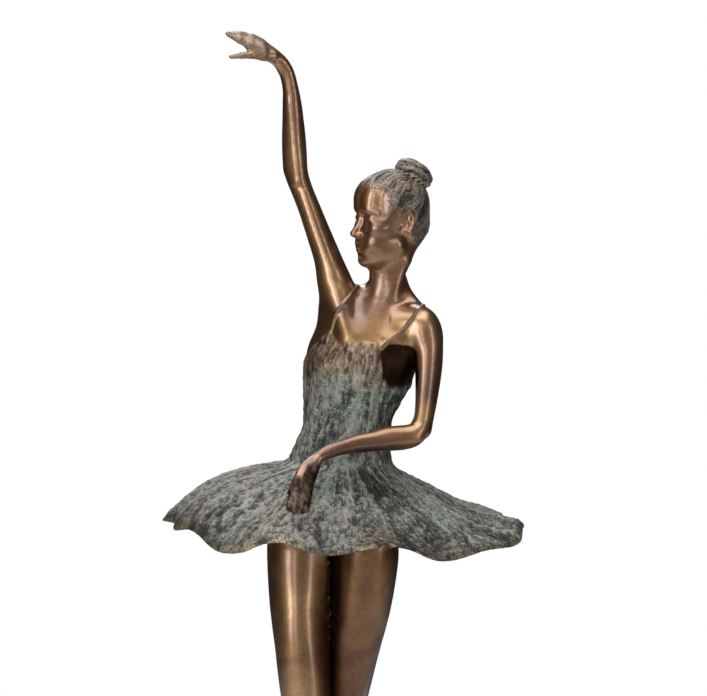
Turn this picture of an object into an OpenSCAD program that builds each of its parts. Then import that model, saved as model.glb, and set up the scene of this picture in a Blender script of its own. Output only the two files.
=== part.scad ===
// Bronze dancer on a marble base.
// Hollow castings are butted face to face, pinned and bolted, as a foundry assembles a figure.
// +Z is up, +X is the dancer's left, -Y is the front. The origin is the centre of the
// underside of the base. Millimetres.

/* [Base] */
// Diameter of the marble base
base_d = 150; // [130:1:180]
// Thickness of the marble base
base_h = 30; // [26:1:38]
// Chamfer round the top edge of the marble
base_chamfer = 3; // [1:0.5:6]
// Thickness of the felt pad under the base
felt_h = 1.5; // [1:0.5:3]
// Diameter of the bronze ground plate
plate_d = 64; // [56:1:80]
// Thickness of the bronze ground plate
plate_h = 7; // [6:0.5:9]

/* [Castings] */
// Wall of the hollow castings
wall = 3; // [2.5:0.25:4]
// Radius of the rim of the tutu, without its ripples
tutu_r = 99; // [92:1:104]
// Thickness of the tutu
tutu_t = 2.4; // [2:0.2:3.2]
// How far the rim of the tutu hangs below the waist
rim_drop = 32; // [28:1:36]
// Height of the ripples at the rim of the tutu
ripple_h = 6; // [3:0.5:8]
// Number of ripples round the tutu
ripples = 10; // [8:1:12]
// How far the chest is turned to the dancer's right, in degrees
chest_turn = 18; // [12:1:24]
// How far the head is turned to the dancer's right, in degrees
head_turn = 68; // [60:1:75]

/* [Fasteners] */
// Radius of the bolt from the hips to the torso (M6)
tie_r = 3; // [2.5:0.5:3]
// Radius of the base bolts (M6)
bolt_r = 3; // [2.5:0.5:3]
// Distance between the two base bolts
bolt_gap = 40; // [36:1:44]
// Clearance of pins and bolts in their holes
slack = 0.05; // [0.02:0.01:0.1]

/* [Hidden] */

$fn = 48;

bronze = "#6f4a2c";
verdigris = "#5f6f66";
steel = "#b8b8b4";
hair_bronze = "#5b5347";

marble_z = felt_h;
plate_z = marble_z + base_h;
toe_z = plate_z + plate_h;
washer_h = 1.2;
washer_r = 6;
head_h = 4;
head_af = 10;
sink_r = 7.5;
sink_h = 8;

hip_z = 306;          // flat joint between each thigh and the hips
waist_z = 349;        // flat joint between the tutu and the torso
tutu_x = 8.4;         // centre of the tutu and of the waist
hub_r = 27;           // flat middle of the tutu, under the torso
spigot_r = 15;
spigot_h = 11;
hips_floor = 15;

sides = 20;           // points of a limb's ring
steps = 2;            // rings from one station to the next

// Stations: x, y, z, half width, half depth.
torso_stations = [
    [6.5, 0, 349, 29.4, 21.4], [7, 0, 356, 27.6, 20], [8.3, 0, 363, 25.8, 18.8],
    [10, 0, 370, 24.4, 17.8], [11.3, 0.2, 378, 24.8, 18], [13.8, 0.4, 387, 27.6, 19],
    [16.6, 0.6, 397, 30.6, 20.4], [18.5, 1, 409, 31.8, 21], [19.8, 1.4, 418, 31, 20],
    [22.6, 2, 427, 27, 17.4], [26.4, 3, 435, 20, 13.6], [29.6, 3.6, 441, 13, 11]
];
neck_stations = [
    [30, 4, 435, 12, 11], [31.6, 3.6, 443, 10.6, 10.2], [32.3, 3, 450, 9.6, 9.6],
    [32.6, 2.6, 457, 9.2, 9.8], [32.8, 2.2, 464, 9.4, 10.4]
];
raised_arm_stations = [
    [9.4, 3.4, 418, 13.6, 12], [7.8, 4.4, 430, 13, 11.6], [6.2, 5.4, 441, 11.2, 10.8],
    [3.4, 6.6, 452, 9.2, 9.6], [-0.6, 8, 465, 7.3, 8.4], [-5.6, 9, 478.5, 6.5, 7.6],
    [-10.4, 10, 491.5, 5.9, 7], [-14.6, 10.9, 502, 5.9, 6.4], [-17.6, 11, 511, 6.5, 6.4],
    [-18.4, 10.2, 522, 6.8, 6.6], [-18.9, 8.6, 534, 6.4, 6], [-19.6, 5.5, 549, 5.2, 4.9],
    [-20.6, 3.6, 558, 4.4, 4.1], [-22.2, 2.6, 564.8, 4.3, 3.8], [-24.4, 1.9, 569.4, 4.3, 3.9],
    [-27, 1, 572.8, 3.9, 4.1]
];
raised_palm_stations = [
    [-30.6, -0.2, 575.6, 3.4, 4.7], [-34.8, -2, 578.2, 3.1, 5.6], [-39.4, -4, 580.9, 2.7, 5.8],
    [-43, -5.2, 583, 2.1, 5]
];
lowered_arm_stations = [
    [38, -4, 427, 11, 10.4], [44, -5.6, 427.6, 11, 10.4], [48.8, -7, 427.2, 10.4, 10.2],
    [53.4, -9, 422.5, 9, 9.6], [55, -12, 412.5, 7.8, 8.8], [54.9, -16, 402.5, 6.8, 8],
    [54, -20.5, 392.5, 5.8, 7], [53, -25, 384, 5, 6.2], [51.6, -28.6, 377, 5, 5.8],
    [48.2, -31.4, 371.6, 6, 5.7], [42, -33.4, 369.4, 6.4, 5.5], [34, -35, 368.4, 6.2, 5.2],
    [25, -37, 367.6, 5.6, 4.7], [16, -39.4, 366.6, 4.9, 4.1], [7, -41.8, 364.6, 4, 3.6],
    [0, -43.2, 362.2, 3.5, 3.3], [-4.4, -44.4, 359.8, 3.2, 3.2]
];
lowered_palm_stations = [
    [-8, -47, 356.2, 3.1, 4.6], [-11.2, -51, 351, 3, 5.8], [-13, -55.4, 345.6, 2.7, 6.2],
    [-13.6, -58.6, 341.8, 2.3, 5.6]
];
// Knuckles of the fingers from the first one and of the thumb last: x, y, z, radius.
raised_fingers = [
    [[-40, -6.8, 579.9, 2.2], [-47, -8.6, 583.1, 1.8], [-54, -9.6, 586.4, 1.3]],
    [[-40.4, -5.3, 582, 2.2], [-47.4, -6.8, 585, 1.8], [-54.4, -7.8, 587.2, 1.3]],
    [[-40.2, -3.7, 583.5, 2], [-46.6, -4.8, 586.2, 1.6], [-53.2, -5.8, 587.5, 1.2]],
    [[-39.6, -2.2, 584.2, 1.8], [-45, -3.1, 586.5, 1.5], [-50.6, -4, 587.5, 1.1]],
    [[-32, -3.6, 575.2, 2.8], [-42, -8.6, 575.4, 2], [-52.4, -11, 574.6, 1.5]]
];
lowered_fingers = [
    [[-17.4, -57.4, 344.4, 1.9], [-19.8, -62, 338.4, 1.7], [-19.6, -65, 333.6, 1.3]],
    [[-14.6, -58.4, 342.6, 1.9], [-16.8, -64.4, 336, 1.7], [-16.4, -68.6, 330.8, 1.3]],
    [[-11.8, -58.6, 341.2, 1.8], [-13, -64.6, 334.8, 1.6], [-12.6, -68.8, 330, 1.2]],
    [[-9.4, -58, 340.4, 1.6], [-9.6, -63.2, 335, 1.4], [-9.2, -66.8, 330.8, 1.1]],
    [[-11.4, -48.6, 354.6, 2.2], [-16.4, -52.6, 349.4, 1.8], [-20.4, -56.8, 343.2, 1.4]]
];
// The legs stand in fifth position on pointe, the right one in front. From the toes up.
right_leg_stations = [
    [-4.2, -8.2, 38.5, 4.2, 4.2], [-4.2, -8.8, 47, 5.4, 4.8], [-4.2, -9, 58, 6.2, 5.6],
    [-4.2, -8.2, 72, 6, 7.4], [-4.4, -7.4, 84, 5.6, 7.4], [-4.8, -7.4, 95, 5.3, 5.9],
    [-5.4, -7, 112, 6.8, 7.4], [-6.8, -6.8, 135, 9.4, 10.2], [-7.8, -7.4, 155, 10.4, 11.2],
    [-8.8, -8.4, 172, 10, 11], [-9.8, -9, 190, 11.2, 12.4], [-11, -8.2, 205, 11.8, 13],
    [-12.4, -6.6, 223.5, 13.3, 14.4], [-14, -4, 250, 15.2, 16.8], [-15.7, -1, 270, 16.4, 18.4],
    [-16, 2, 296, 17.6, 20], [-15.8, 3, 306, 17.8, 20.2]
];
left_leg_stations = [
    [3.8, 8, 38.5, 4.2, 4.2], [3.8, 8.6, 47, 5.4, 4.8], [3.8, 8.8, 58, 6.2, 5.6],
    [3.6, 8.2, 72, 6, 7.2], [3.4, 7.6, 84, 5.6, 7.2], [3, 7.2, 95, 5.2, 5.8],
    [2.8, 9.4, 112, 6.6, 7.2], [2.6, 12.8, 135, 9.2, 10], [3.2, 14.2, 155, 10.2, 11],
    [3.6, 13.4, 172, 10, 11], [4.8, 13.4, 190, 11.2, 12.4], [7, 11.8, 205, 11.8, 13],
    [9.8, 10, 223.5, 13.4, 14.6], [14.4, 7, 250, 15.2, 17.6], [18.2, 2.4, 270, 16.6, 19.2],
    [20.9, -0.4, 296, 18, 18.6], [21, -1, 306, 18, 18.2]
];
hips_stations = [
    [3.1, 0, 306, 37, 24.6], [4.4, 0, 317, 37, 25], [6, 0, 328, 34.5, 24],
    [7.6, 0, 338, 30.5, 22.4], [8.4, 0, 346.6, 28.4, 21]
];
// The head's own frame: x forwards, y to the dancer's left, z up from the chin.
head_stations = [
    [3.4, 0, 0.6, 9, 12], [5.4, 0, 5, 11.4, 16], [4.2, 0, 11, 14.4, 18.2],
    [1.4, 0, 20, 17, 21.2], [-0.2, 0, 30, 18.4, 23.2], [-0.8, 0, 39, 18, 22.8],
    [-1, 0, 46.5, 14.4, 18.4], [-1, 0, 51, 9, 11.8], [-1, 0, 53, 3, 4]
];
head_at = [33, 1, 460];
bun_at = [-11.7, 0, 45.3];
bun_tilt = 34;

// Flat joints between castings, as numbers of stations.
shoulder_station = 2;
neck_station = 3;

function unit(v) = v / norm(v);
function catmull(a, b, c, d, t) =
    0.5 * (2 * b + (c - a) * t + (2 * a - 5 * b + 4 * c - d) * t * t
    + (3 * b - a - 3 * c + d) * t * t * t);
function smooth_path(s, k) = [
    for (i = [0 : len(s) - 2], j = [0 : k - 1])
        catmull(s[max(i - 1, 0)], s[i], s[i + 1], s[min(i + 2, len(s) - 1)], j / k),
    s[len(s) - 1]
];
function place(p) = [p[0], p[1], p[2]];
function tangent(p, i) =
    unit(place(p[min(i + 1, len(p) - 1)]) - place(p[max(i - 1, 0)]));
function ring(c, t, side, a, b, n) =
    let (u = unit(side - (side * t) * t), v = cross(t, u))
    [for (i = [0 : n - 1]) c + a * cos(360 * i / n) * u + b * sin(360 * i / n) * v];
// Rings square to a path; side is the direction of their half width.
function limb_rings(s, side, n = sides, k = steps, grow = 0) =
    let (p = smooth_path(s, k))
    [for (i = [0 : len(p) - 1])
        ring(place(p[i]), tangent(p, i), side, p[i][3] + grow, p[i][4] + grow, n)];
// Level rings, from the lowest up; turn is the turn of their half width about Z.
function level_rings(s, turn, n = sides, k = steps, grow = 0) =
    let (p = smooth_path(s, k), side = [cos(turn), -sin(turn), 0])
    [for (q = p) ring(place(q), [0, 0, 1], side, q[3] + grow, q[4] + grow, n)];
function part_of(list, from, to) = [for (i = [from : to]) list[i]];
function middle(r) = let (n = len(r)) [for (k = [0 : 2]) [for (p = r) p[k]] * [for (p = r) 1 / n]];

// A closed solid through rings that all have the same number of points.
module skin(rings) {
    n = len(rings[0]);
    last = len(rings) - 1;
    points = [for (r = rings) each r];
    walls = [
        for (i = [0 : last - 1], j = [0 : n - 1])
            let (a = i * n + j, b = i * n + (j + 1) % n, c = a + n, d = b + n)
            each [[a, c, b], [b, c, d]]
    ];
    first_cap = [for (j = [0 : n - 1]) j];
    last_cap = [for (j = [n - 1 : -1 : 0]) last * n + j];
    polyhedron(points = points, faces = concat([first_cap, last_cap], walls));
}

// A round bar from a to b.
module bar(a, b, r) {
    d = b - a;
    translate(a)
        rotate([0, acos(d[2] / norm(d)), atan2(d[1], d[0])])
            cylinder(r = r, h = norm(d));
}

module hexagon(af, h) {
    cylinder(r = af / 2 / cos(30), h = h, $fn = 6);
}

torso_rings = level_rings(torso_stations, chest_turn);
neck_rings = limb_rings(neck_stations, [cos(chest_turn), -sin(chest_turn), 0]);
raised_rings = limb_rings(concat(raised_arm_stations, raised_palm_stations), [1, -0.5, 0.2]);
lowered_rings = limb_rings(concat(lowered_arm_stations, lowered_palm_stations), [0.6, 0.1, 1]);
right_leg_rings = level_rings(right_leg_stations, chest_turn);
left_leg_rings = level_rings(left_leg_stations, chest_turn);
hips_rings = level_rings(hips_stations, chest_turn, 28);

shoulder_ring = shoulder_station * steps;
neck_ring = neck_station * steps;
raised_wrist_ring = (len(raised_arm_stations) - 1) * steps;
lowered_wrist_ring = (len(lowered_arm_stations) - 1) * steps;

shoulder_in = 16;
shoulder_out = 14;
shoulder_pin_r = 2.5;
wrist_pin_r = 1.25;
wrist_pin_half = 7;
neck_pin_r = 2.5;
neck_pin_half = 13;
toe_pin_r = 1.5;

// A pin along a limb's line, centred on the flat joint at one of its rings.
module pin_at(rings, i, r, back, ahead) {
    c = middle(rings[i]);
    t = i < len(rings) - 1 ? unit(middle(rings[i + 1]) - c) : unit(c - middle(rings[i - 1]));
    bar(c - back * t, c + ahead * t, r);
}

module felt_pad() {
    color("darkgreen")
        cylinder(d = base_d - 6, h = felt_h);
}

module at_base_bolts(z) {
    for (s = [-1, 1])
        translate([s * bolt_gap / 2, 0, z]) children();
}

module marble_base() {
    color("#1d1f1e")
        difference() {
            translate([0, 0, marble_z])
                rotate_extrude()
                    polygon([
                        [0, 0], [base_d / 2 - 1, 0], [base_d / 2, 1],
                        [base_d / 2, base_h - base_chamfer],
                        [base_d / 2 - base_chamfer, base_h], [0, base_h]
                    ]);
            at_base_bolts(marble_z - 1) cylinder(r = sink_r, h = sink_h + 1);
            at_base_bolts(marble_z) cylinder(r = bolt_r + 0.5, h = base_h + 1);
        }
}

module base_washers() {
    color(steel)
        at_base_bolts(marble_z + sink_h - washer_h)
            difference() {
                cylinder(r = washer_r, h = washer_h);
                translate([0, 0, -1]) cylinder(r = bolt_r + 0.2, h = washer_h + 2);
            }
}

module base_bolts() {
    head_z = marble_z + sink_h - washer_h - head_h;
    color(steel)
        at_base_bolts(head_z) {
            hexagon(head_af, head_h);
            cylinder(r = bolt_r, h = plate_z + plate_h - 1.5 - head_z);
        }
}

module ground_plate() {
    color(bronze)
        difference() {
            translate([0, 0, plate_z])
                rotate_extrude()
                    polygon([
                        [0, 0], [plate_d / 2, 0], [plate_d / 2, plate_h - 2.5],
                        [plate_d / 2 - 2.5, plate_h], [0, plate_h]
                    ]);
            at_base_bolts(plate_z - 1)
                cylinder(r = bolt_r + slack, h = plate_h - 0.5 + slack);
            toe_pins(slack);
        }
}

module toe_pins(extra = 0) {
    color(bronze)
        for (s = [right_leg_stations, left_leg_stations])
            let (toe = s[0])
            translate([toe[0], toe[1], toe_z - 5 - extra])
                cylinder(r = toe_pin_r + extra, h = 14 + 2 * extra);
}

// One leg, solid in the pointe shoe and at the hip joint, and hollow from the calf up.
module leg(stations, rings) {
    top = len(stations) - 2;
    color(bronze)
        difference() {
            skin(rings);
            skin(level_rings(part_of(stations, 7, top), chest_turn, 14, 1, -wall));
            thigh_pins(slack);
            toe_pins(slack);
        }
}

module right_leg() {
    leg(right_leg_stations, right_leg_rings);
}

module left_leg() {
    leg(left_leg_stations, left_leg_rings);
}

module thigh_pins(extra = 0) {
    color(bronze)
        for (s = [right_leg_stations, left_leg_stations])
            let (hip = s[len(s) - 1])
            translate([hip[0], hip[1], hip_z - 12 - extra])
                cylinder(r = 3 + extra, h = 24 + 2 * extra);
}

module hips() {
    color(bronze)
        difference() {
            skin(hips_rings);
            translate([tutu_x, 0, hip_z + hips_floor])
                cylinder(r = spigot_r + slack, h = waist_z);
            thigh_pins(slack);
            translate([tutu_x, 0, hip_z - 1]) cylinder(r = tie_r + slack, h = 40);
            translate([tutu_x, 0, hip_z - 1]) cylinder(r = washer_r + 0.5, h = 7);
        }
}

module tie_bolt() {
    color(steel)
        translate([tutu_x, 0, hip_z + 6 - washer_h - head_h]) {
            hexagon(head_af, head_h);
            cylinder(r = tie_r, h = 55);
        }
}

module tie_washer() {
    color(steel)
        translate([tutu_x, 0, hip_z + 6 - washer_h])
            difference() {
                cylinder(r = washer_r, h = washer_h);
                translate([0, 0, -1]) cylinder(r = tie_r + 0.2, h = washer_h + 2);
            }
}

// Height of the tutu's skin below the waist, at share u of the way out and angle w.
front_lobe = 265;     // direction of the middle of the front lobe
tip_w = 182;          // direction of the beak in the rim
tip_l = 9;
bite = 5.6;           // how far the rim draws back beside the beak
function front(w) = pow(max(0, -sin(w)), 2);
function tutu_drop(u, w) =
    let (lip = 0.14 - 0.11 * hump(w, tip_w, 13), dome = 0.86 * pow(u, 1.45) + lip * pow(u, 12))
    rim_drop * (1.08 * u * front(w) + dome * (1 - front(w)));
// The skirt hangs lower on the dancer's left than on the right, between the waist and the rim.
function tutu_tilt(u, w) =
    (0.235 + 0.035 * cos(w)) * (hub_r + (tutu_r - hub_r) * u) * cos(w) * sqrt(u)
    * (1 - 0.95 * u * u);
// A hump in the rim at angle centre, that falls away over about width degrees.
function hump(w, centre, width) = exp(-pow((w - centre) / width, 2));
// 1 at the bottom of a lobe of the rim and -1 between lobes, with uneven lobes at the front.
function ripple(w) =
    cos(ripples * (w - front_lobe)) + 1.5 * hump(w, 319, 12) - 0.9 * hump(w, 291, 7)
    - 1.6 * hump(w, 264, 25) - 1.7 * hump(w, 188, 14) + 0.9 * hump(w, 238, 7) - 0.5 * hump(w, 216, 9);
function tutu_z(u, w) =
    waist_z - tutu_drop(u, w) - tutu_tilt(u, w) - ripple_h / 2 * pow(u, 2.5) * ripple(w)
    + 1.2 * u * u * cos(3 * w + 40) - 4.5 * pow(u, 8) * hump(w, tip_w, 8);
// The rim has one narrow beak, at the dancer's right, and a fuller lobe at the left.
function tutu_reach(u, w) =
    hub_r + (tutu_r - hub_r) * u + 1.5 * u * ripple(w) + 2 * pow(u, 8) * pow(max(0, cos(w + 10)), 12)
    + tip_l * pow(u, 6) * hump(w, tip_w, 4) - bite * pow(u, 4) * hump(w, tip_w, 15);
tutu_steps = 6;
tutu_sides = 108;

module tutu() {
    inner = [for (j = [0 : tutu_sides - 1])
        let (w = 360 * j / tutu_sides) [12 * cos(w), 12 * sin(w), waist_z]];
    rings = [for (i = [0 : tutu_steps]) [for (j = [0 : tutu_sides - 1])
        let (w = 360 * j / tutu_sides, u = i / tutu_steps, r = tutu_reach(u, w))
        [r * cos(w), r * sin(w), tutu_z(u, w)]]];
    outer = concat([inner], rings);
    lower = [for (r = outer) [for (p = r) p - [0, 0, tutu_t]]];
    loop = concat(outer, [for (i = [len(lower) - 1 : -1 : 0]) lower[i]]);
    n = tutu_sides;
    m = len(loop);
    faces = [
        for (i = [0 : m - 1], j = [0 : n - 1])
            let (
                a = i * n + j, b = i * n + (j + 1) % n,
                c = ((i + 1) % m) * n + j, d = ((i + 1) % m) * n + (j + 1) % n
            )
            each [[a, b, c], [b, d, c]]
    ];
    color(verdigris)
        translate([tutu_x, 0, 0])
            difference() {
                polyhedron(points = [for (r = loop) each r], faces = faces);
                translate([0, 0, waist_z - 10]) cylinder(r = spigot_r + slack, h = 20);
            }
}

// The places of the threaded plugs that close the core holes in the dancer's back.
plug_r = 3;
plug_stations = [4, 7];
module plug_bars(r) {
    for (i = plug_stations)
        translate(place(torso_stations[i]))
            rotate([-90, 0, -chest_turn])
                translate([0, 0, torso_stations[i][4] - 8])
                    cylinder(r = r, h = 7.4);
}

module torso() {
    color(verdigris)
        difference() {
            union() {
                skin(torso_rings);
                skin(part_of(neck_rings, 0, neck_ring));
                skin(part_of(raised_rings, 0, shoulder_ring));
                skin(part_of(lowered_rings, 0, shoulder_ring));
                translate([tutu_x, 0, waist_z - spigot_h])
                    cylinder(r = spigot_r, h = spigot_h + 1);
            }
            skin(level_rings(part_of(torso_stations, 1, 7), chest_turn, 16, 1, -wall - 1));
            translate([tutu_x, 0, waist_z - spigot_h - 1])
                cylinder(r = tie_r + slack, h = 40);
            pin_at(neck_rings, neck_ring, neck_pin_r + slack, neck_pin_half + slack, 1);
            pin_at(raised_rings, shoulder_ring, shoulder_pin_r + slack, shoulder_in, 1);
            pin_at(lowered_rings, shoulder_ring, shoulder_pin_r + slack, shoulder_in, 1);
            plug_bars(plug_r + slack);
        }
}

module back_plugs() {
    color(bronze)
        plug_bars(plug_r);
}

module raised_shoulder_pin() {
    color(bronze)
        pin_at(raised_rings, shoulder_ring, shoulder_pin_r, shoulder_in - 1, shoulder_out);
}

module lowered_shoulder_pin() {
    color(bronze)
        pin_at(lowered_rings, shoulder_ring, shoulder_pin_r, shoulder_in - 1, shoulder_out - 4);
}

module raised_wrist_pin() {
    color(bronze)
        pin_at(raised_rings, raised_wrist_ring, wrist_pin_r, wrist_pin_half, wrist_pin_half);
}

module lowered_wrist_pin() {
    color(bronze)
        pin_at(lowered_rings, lowered_wrist_ring, wrist_pin_r, wrist_pin_half - 1, wrist_pin_half - 1);
}

module raised_arm() {
    color(bronze)
        difference() {
            skin(part_of(raised_rings, shoulder_ring, raised_wrist_ring));
            pin_at(raised_rings, shoulder_ring, shoulder_pin_r + slack, 1, shoulder_out + slack);
            pin_at(raised_rings, raised_wrist_ring, wrist_pin_r + slack, wrist_pin_half + slack, 1);
        }
}

module lowered_arm() {
    color(bronze)
        difference() {
            skin(part_of(lowered_rings, shoulder_ring, lowered_wrist_ring));
            pin_at(lowered_rings, shoulder_ring, shoulder_pin_r + slack, 1,
                shoulder_out - 4 + slack);
            pin_at(lowered_rings, lowered_wrist_ring, wrist_pin_r + slack,
                wrist_pin_half - 1 + slack, 1);
        }
}

// A finger through its knuckles, each given as x, y, z, radius.
module finger(knuckles) {
    skin(limb_rings([for (j = knuckles) [j[0], j[1], j[2], j[3], j[3] * 0.9]], [0.3, 0.9, 0.4], 8, 1));
}

// The palm, from the wrist ring of a limb to its last ring, and the fingers and thumb.
module hand(rings, wrist, fingers) {
    skin(part_of(rings, wrist, len(rings) - 1));
    for (f = fingers) finger(f);
}

module raised_hand() {
    color(bronze)
        difference() {
            hand(raised_rings, raised_wrist_ring, raised_fingers);
            pin_at(raised_rings, raised_wrist_ring, wrist_pin_r + slack, 1, wrist_pin_half + slack);
        }
}

module lowered_hand() {
    color(bronze)
        difference() {
            hand(lowered_rings, lowered_wrist_ring, lowered_fingers);
            pin_at(lowered_rings, lowered_wrist_ring, wrist_pin_r + slack, 1,
                wrist_pin_half - 1 + slack);
        }
}

module neck_pin() {
    color(bronze)
        pin_at(neck_rings, neck_ring, neck_pin_r, neck_pin_half, neck_pin_half);
}

// Stands its children in the head's own frame: x forwards, y to the dancer's left, z up from the
// chin.
module head_frame() {
    translate(head_at)
        rotate([0, 0, 270 - head_turn])
            children();
}

// The frame of the hair bun: z points up and back out of the head.
module bun_frame() {
    head_frame()
        translate(bun_at)
            rotate([0, -bun_tilt, 0])
                children();
}

module bun_pin(extra = 0) {
    color(bronze)
        bun_frame()
            translate([0, 0, -9 - extra])
                cylinder(r = 1.5 + extra, h = 14 + 2 * extra);
}

module bun_solid(extra = 0) {
    bun_frame()
        translate([0, 0, -extra])
            rotate_extrude()
                polygon([
                    [0, 0], [8.8 + extra, 0], [10.4 + extra, 2.4], [11 + extra, 5.6],
                    [10.2 + extra, 8.8], [7.4 + extra, 11.4], [3.4, 12.4], [0, 12.6]
                ]);
}

module hair_bun() {
    color(hair_bronze)
        difference() {
            bun_solid();
            bun_pin(slack);
        }
}

module head() {
    color(hair_bronze)
        difference() {
            union() {
                head_frame()
                    skin(level_rings(head_stations, 90, 24, 2));
                skin(part_of(neck_rings, neck_ring, len(neck_rings) - 1));
                head_frame() {
                    hull() {
                        translate([22, 0, 27]) sphere(r = 1.6, $fn = 16);
                        translate([25, 0, 19.5]) sphere(r = 1.7, $fn = 16);
                        translate([20, 0, 19]) sphere(r = 2.8, $fn = 16);
                    }
                    for (s = [-1, 1])
                        hull() {
                            translate([-3, s * 17.6, 27.6]) sphere(r = 2.4, $fn = 16);
                            translate([-2, s * 17, 20]) sphere(r = 1.8, $fn = 16);
                        }
                }
            }
            head_frame()
                skin(level_rings(part_of(head_stations, 2, 7), 90, 14, 1, -wall - 1));
            pin_at(neck_rings, neck_ring, neck_pin_r + slack, 1, neck_pin_half + slack);
            bun_solid(slack);
            bun_pin(slack);
        }
}

felt_pad();
marble_base();
base_washers();
base_bolts();
ground_plate();
toe_pins();
right_leg();
left_leg();
thigh_pins();
hips();
tie_bolt();
tie_washer();
tutu();
torso();
back_plugs();
raised_shoulder_pin();
raised_arm();
raised_wrist_pin();
raised_hand();
lowered_shoulder_pin();
lowered_arm();
lowered_wrist_pin();
lowered_hand();
neck_pin();
head();
hair_bun();
bun_pin();
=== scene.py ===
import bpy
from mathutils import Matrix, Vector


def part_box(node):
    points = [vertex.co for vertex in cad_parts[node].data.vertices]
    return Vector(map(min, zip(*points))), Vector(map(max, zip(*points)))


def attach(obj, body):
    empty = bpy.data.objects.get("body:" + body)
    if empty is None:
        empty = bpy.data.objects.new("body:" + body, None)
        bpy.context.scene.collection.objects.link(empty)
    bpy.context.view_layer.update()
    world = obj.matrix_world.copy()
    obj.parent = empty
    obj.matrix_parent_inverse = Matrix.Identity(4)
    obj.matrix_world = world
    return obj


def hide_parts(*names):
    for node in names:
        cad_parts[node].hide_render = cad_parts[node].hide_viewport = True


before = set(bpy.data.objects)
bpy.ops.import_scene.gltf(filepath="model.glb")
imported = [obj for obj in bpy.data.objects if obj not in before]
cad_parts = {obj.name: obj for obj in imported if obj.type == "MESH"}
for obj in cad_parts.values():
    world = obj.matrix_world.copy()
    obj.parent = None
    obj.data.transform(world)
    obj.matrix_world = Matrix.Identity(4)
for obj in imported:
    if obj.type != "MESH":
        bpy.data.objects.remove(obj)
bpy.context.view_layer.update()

import copy
import math

import bpy
import numpy as np
import openvdb as vdb
from mathutils import Vector

MM = 0.001
COARSE = 1.0  # voxels are this much larger while trying things
FAR = 30.0  # mm, a distance that no shape's edge is felt at
LOFT_REACH = 9.0  # mm from a loft's skin within which its distance is known
TINY = 1e-6  # keeps a length away from 0 before it divides


# ---------------------------------------------------------------- camera

AIM = Vector((0.014, 0.0, 0.415))
ELEVATION = math.radians(5)
DISTANCE = 1.8
FIELD_WIDTH = 0.389  # metres across the picture at AIM


def make_camera():
    back = Vector((0, -math.cos(ELEVATION), math.sin(ELEVATION)))
    data = bpy.data.cameras.new("camera")
    data.sensor_width = 36
    data.lens = data.sensor_width * DISTANCE / FIELD_WIDTH
    camera = bpy.data.objects.new("camera", data)
    camera.location = AIM + DISTANCE * back
    camera.rotation_euler = (-back).to_track_quat("-Z", "Y").to_euler()
    bpy.context.scene.collection.objects.link(camera)
    bpy.context.scene.camera = camera


make_camera()


# ---------------------------------------------------------------- small maths, all in mm

def unit(v):
    v = np.asarray(v, float)
    return v / np.linalg.norm(v, axis=-1, keepdims=True)


def step_up(low, high, v):
    """0 below low, 1 above high, smooth between; low may be the larger one."""
    t = np.clip((v - low) / (high - low), 0, 1)
    return t * t * (3 - 2 * t)


def off_face(away):
    """0 on a casting's flat face and 1 from a millimetre away from it."""
    return step_up(0.1, 1, away)


def smooth_min(a, b, blend):
    if blend <= 0:
        return np.minimum(a, b)
    h = np.maximum(blend - np.abs(a - b), 0) / blend
    return np.minimum(a, b) - h * h * h * blend / 6


PATH_STEPS = 8  # points from one station to the next


def smooth_path(stations, passes=16):
    """A curve through the stations, evened out in passes so that its bend has no jumps."""
    s = np.array(stations, float)
    ends = np.vstack([2 * s[0] - s[1], s, 2 * s[-1] - s[-2]])
    rows = []
    for i in range(len(s) - 1):
        a, b, c, d = ends[i:i + 4]
        for t in np.arange(PATH_STEPS) / PATH_STEPS:
            rows.append(
                b + 0.5 * t * (c - a + t * (2 * a - 5 * b + 4 * c - d + t * (3 * (b - c) + d - a)))
            )
    path = np.array(rows + [s[-1]])
    for _ in range(passes):
        path[1:-1] = (path[:-2] + 2 * path[1:-1] + path[2:]) / 4
    return path


def hashed(i, j, k, seed):
    """A number from -1 to 1 that looks random but is fixed for whole numbers i, j and k."""
    n = (i * 374761393 + j * 668265263 + k * 2147483647 + seed * 974634777) & 0xFFFFFFFF
    n = ((n ^ (n >> 13)) * 1274126177) & 0xFFFFFFFF
    return ((n ^ (n >> 16)) & 0xFFFF) / 32767.5 - 1


def noise(p, size, seed):
    """Smooth noise from -1 to 1 at the points p, with lumps about size across."""
    q = np.asarray(p, float) / size
    base = np.floor(q).astype(np.int64)
    f = q - base
    f = f * f * f * (f * (f * 6 - 15) + 10)
    total = 0.0
    for corner in range(8):
        o = np.array([corner & 1, corner >> 1 & 1, corner >> 2])
        weight = np.prod(np.where(o, f, 1 - f), axis=-1)
        c = base + o
        total = total + weight * hashed(c[..., 0], c[..., 1], c[..., 2], seed)
    return total


FINER = 0.55  # strength of an octave of noise beside the coarser one before it


def fractal(p, size, octaves, seed):
    total, share = 0.0, 1.0
    for n in range(octaves):
        total = total + share * noise(p, size / 2 ** n, seed + n)
        share *= FINER
    return total


def ridges(p, size, octaves, seed):
    """Sharp-crested noise from about -1 to 1, like bark."""
    total, share, most = 0.0, 1.0, 0.0
    for n in range(octaves):
        total = total + share * (1 - 3.2 * np.abs(noise(p, size / 2 ** n, seed + n)))
        most += share
        share *= FINER
    return np.clip(total / most, -1.2, 1)


def around(w, radius, height):
    """Points on a drum, for a pattern that runs along its rulings."""
    return np.stack([radius * np.cos(w), radius * np.sin(w), height], -1)


def wobble(p, size, seed):
    return np.stack([noise(p, size, seed + n) for n in range(3)], -1)


def hump(w, centre, width):
    """1 where the angle w, in radians, is centre degrees, falling away over about width degrees."""
    return np.exp(-((np.degrees(w) - centre) / width) ** 2)


# ---------------------------------------------------------------- sculpting

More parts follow.
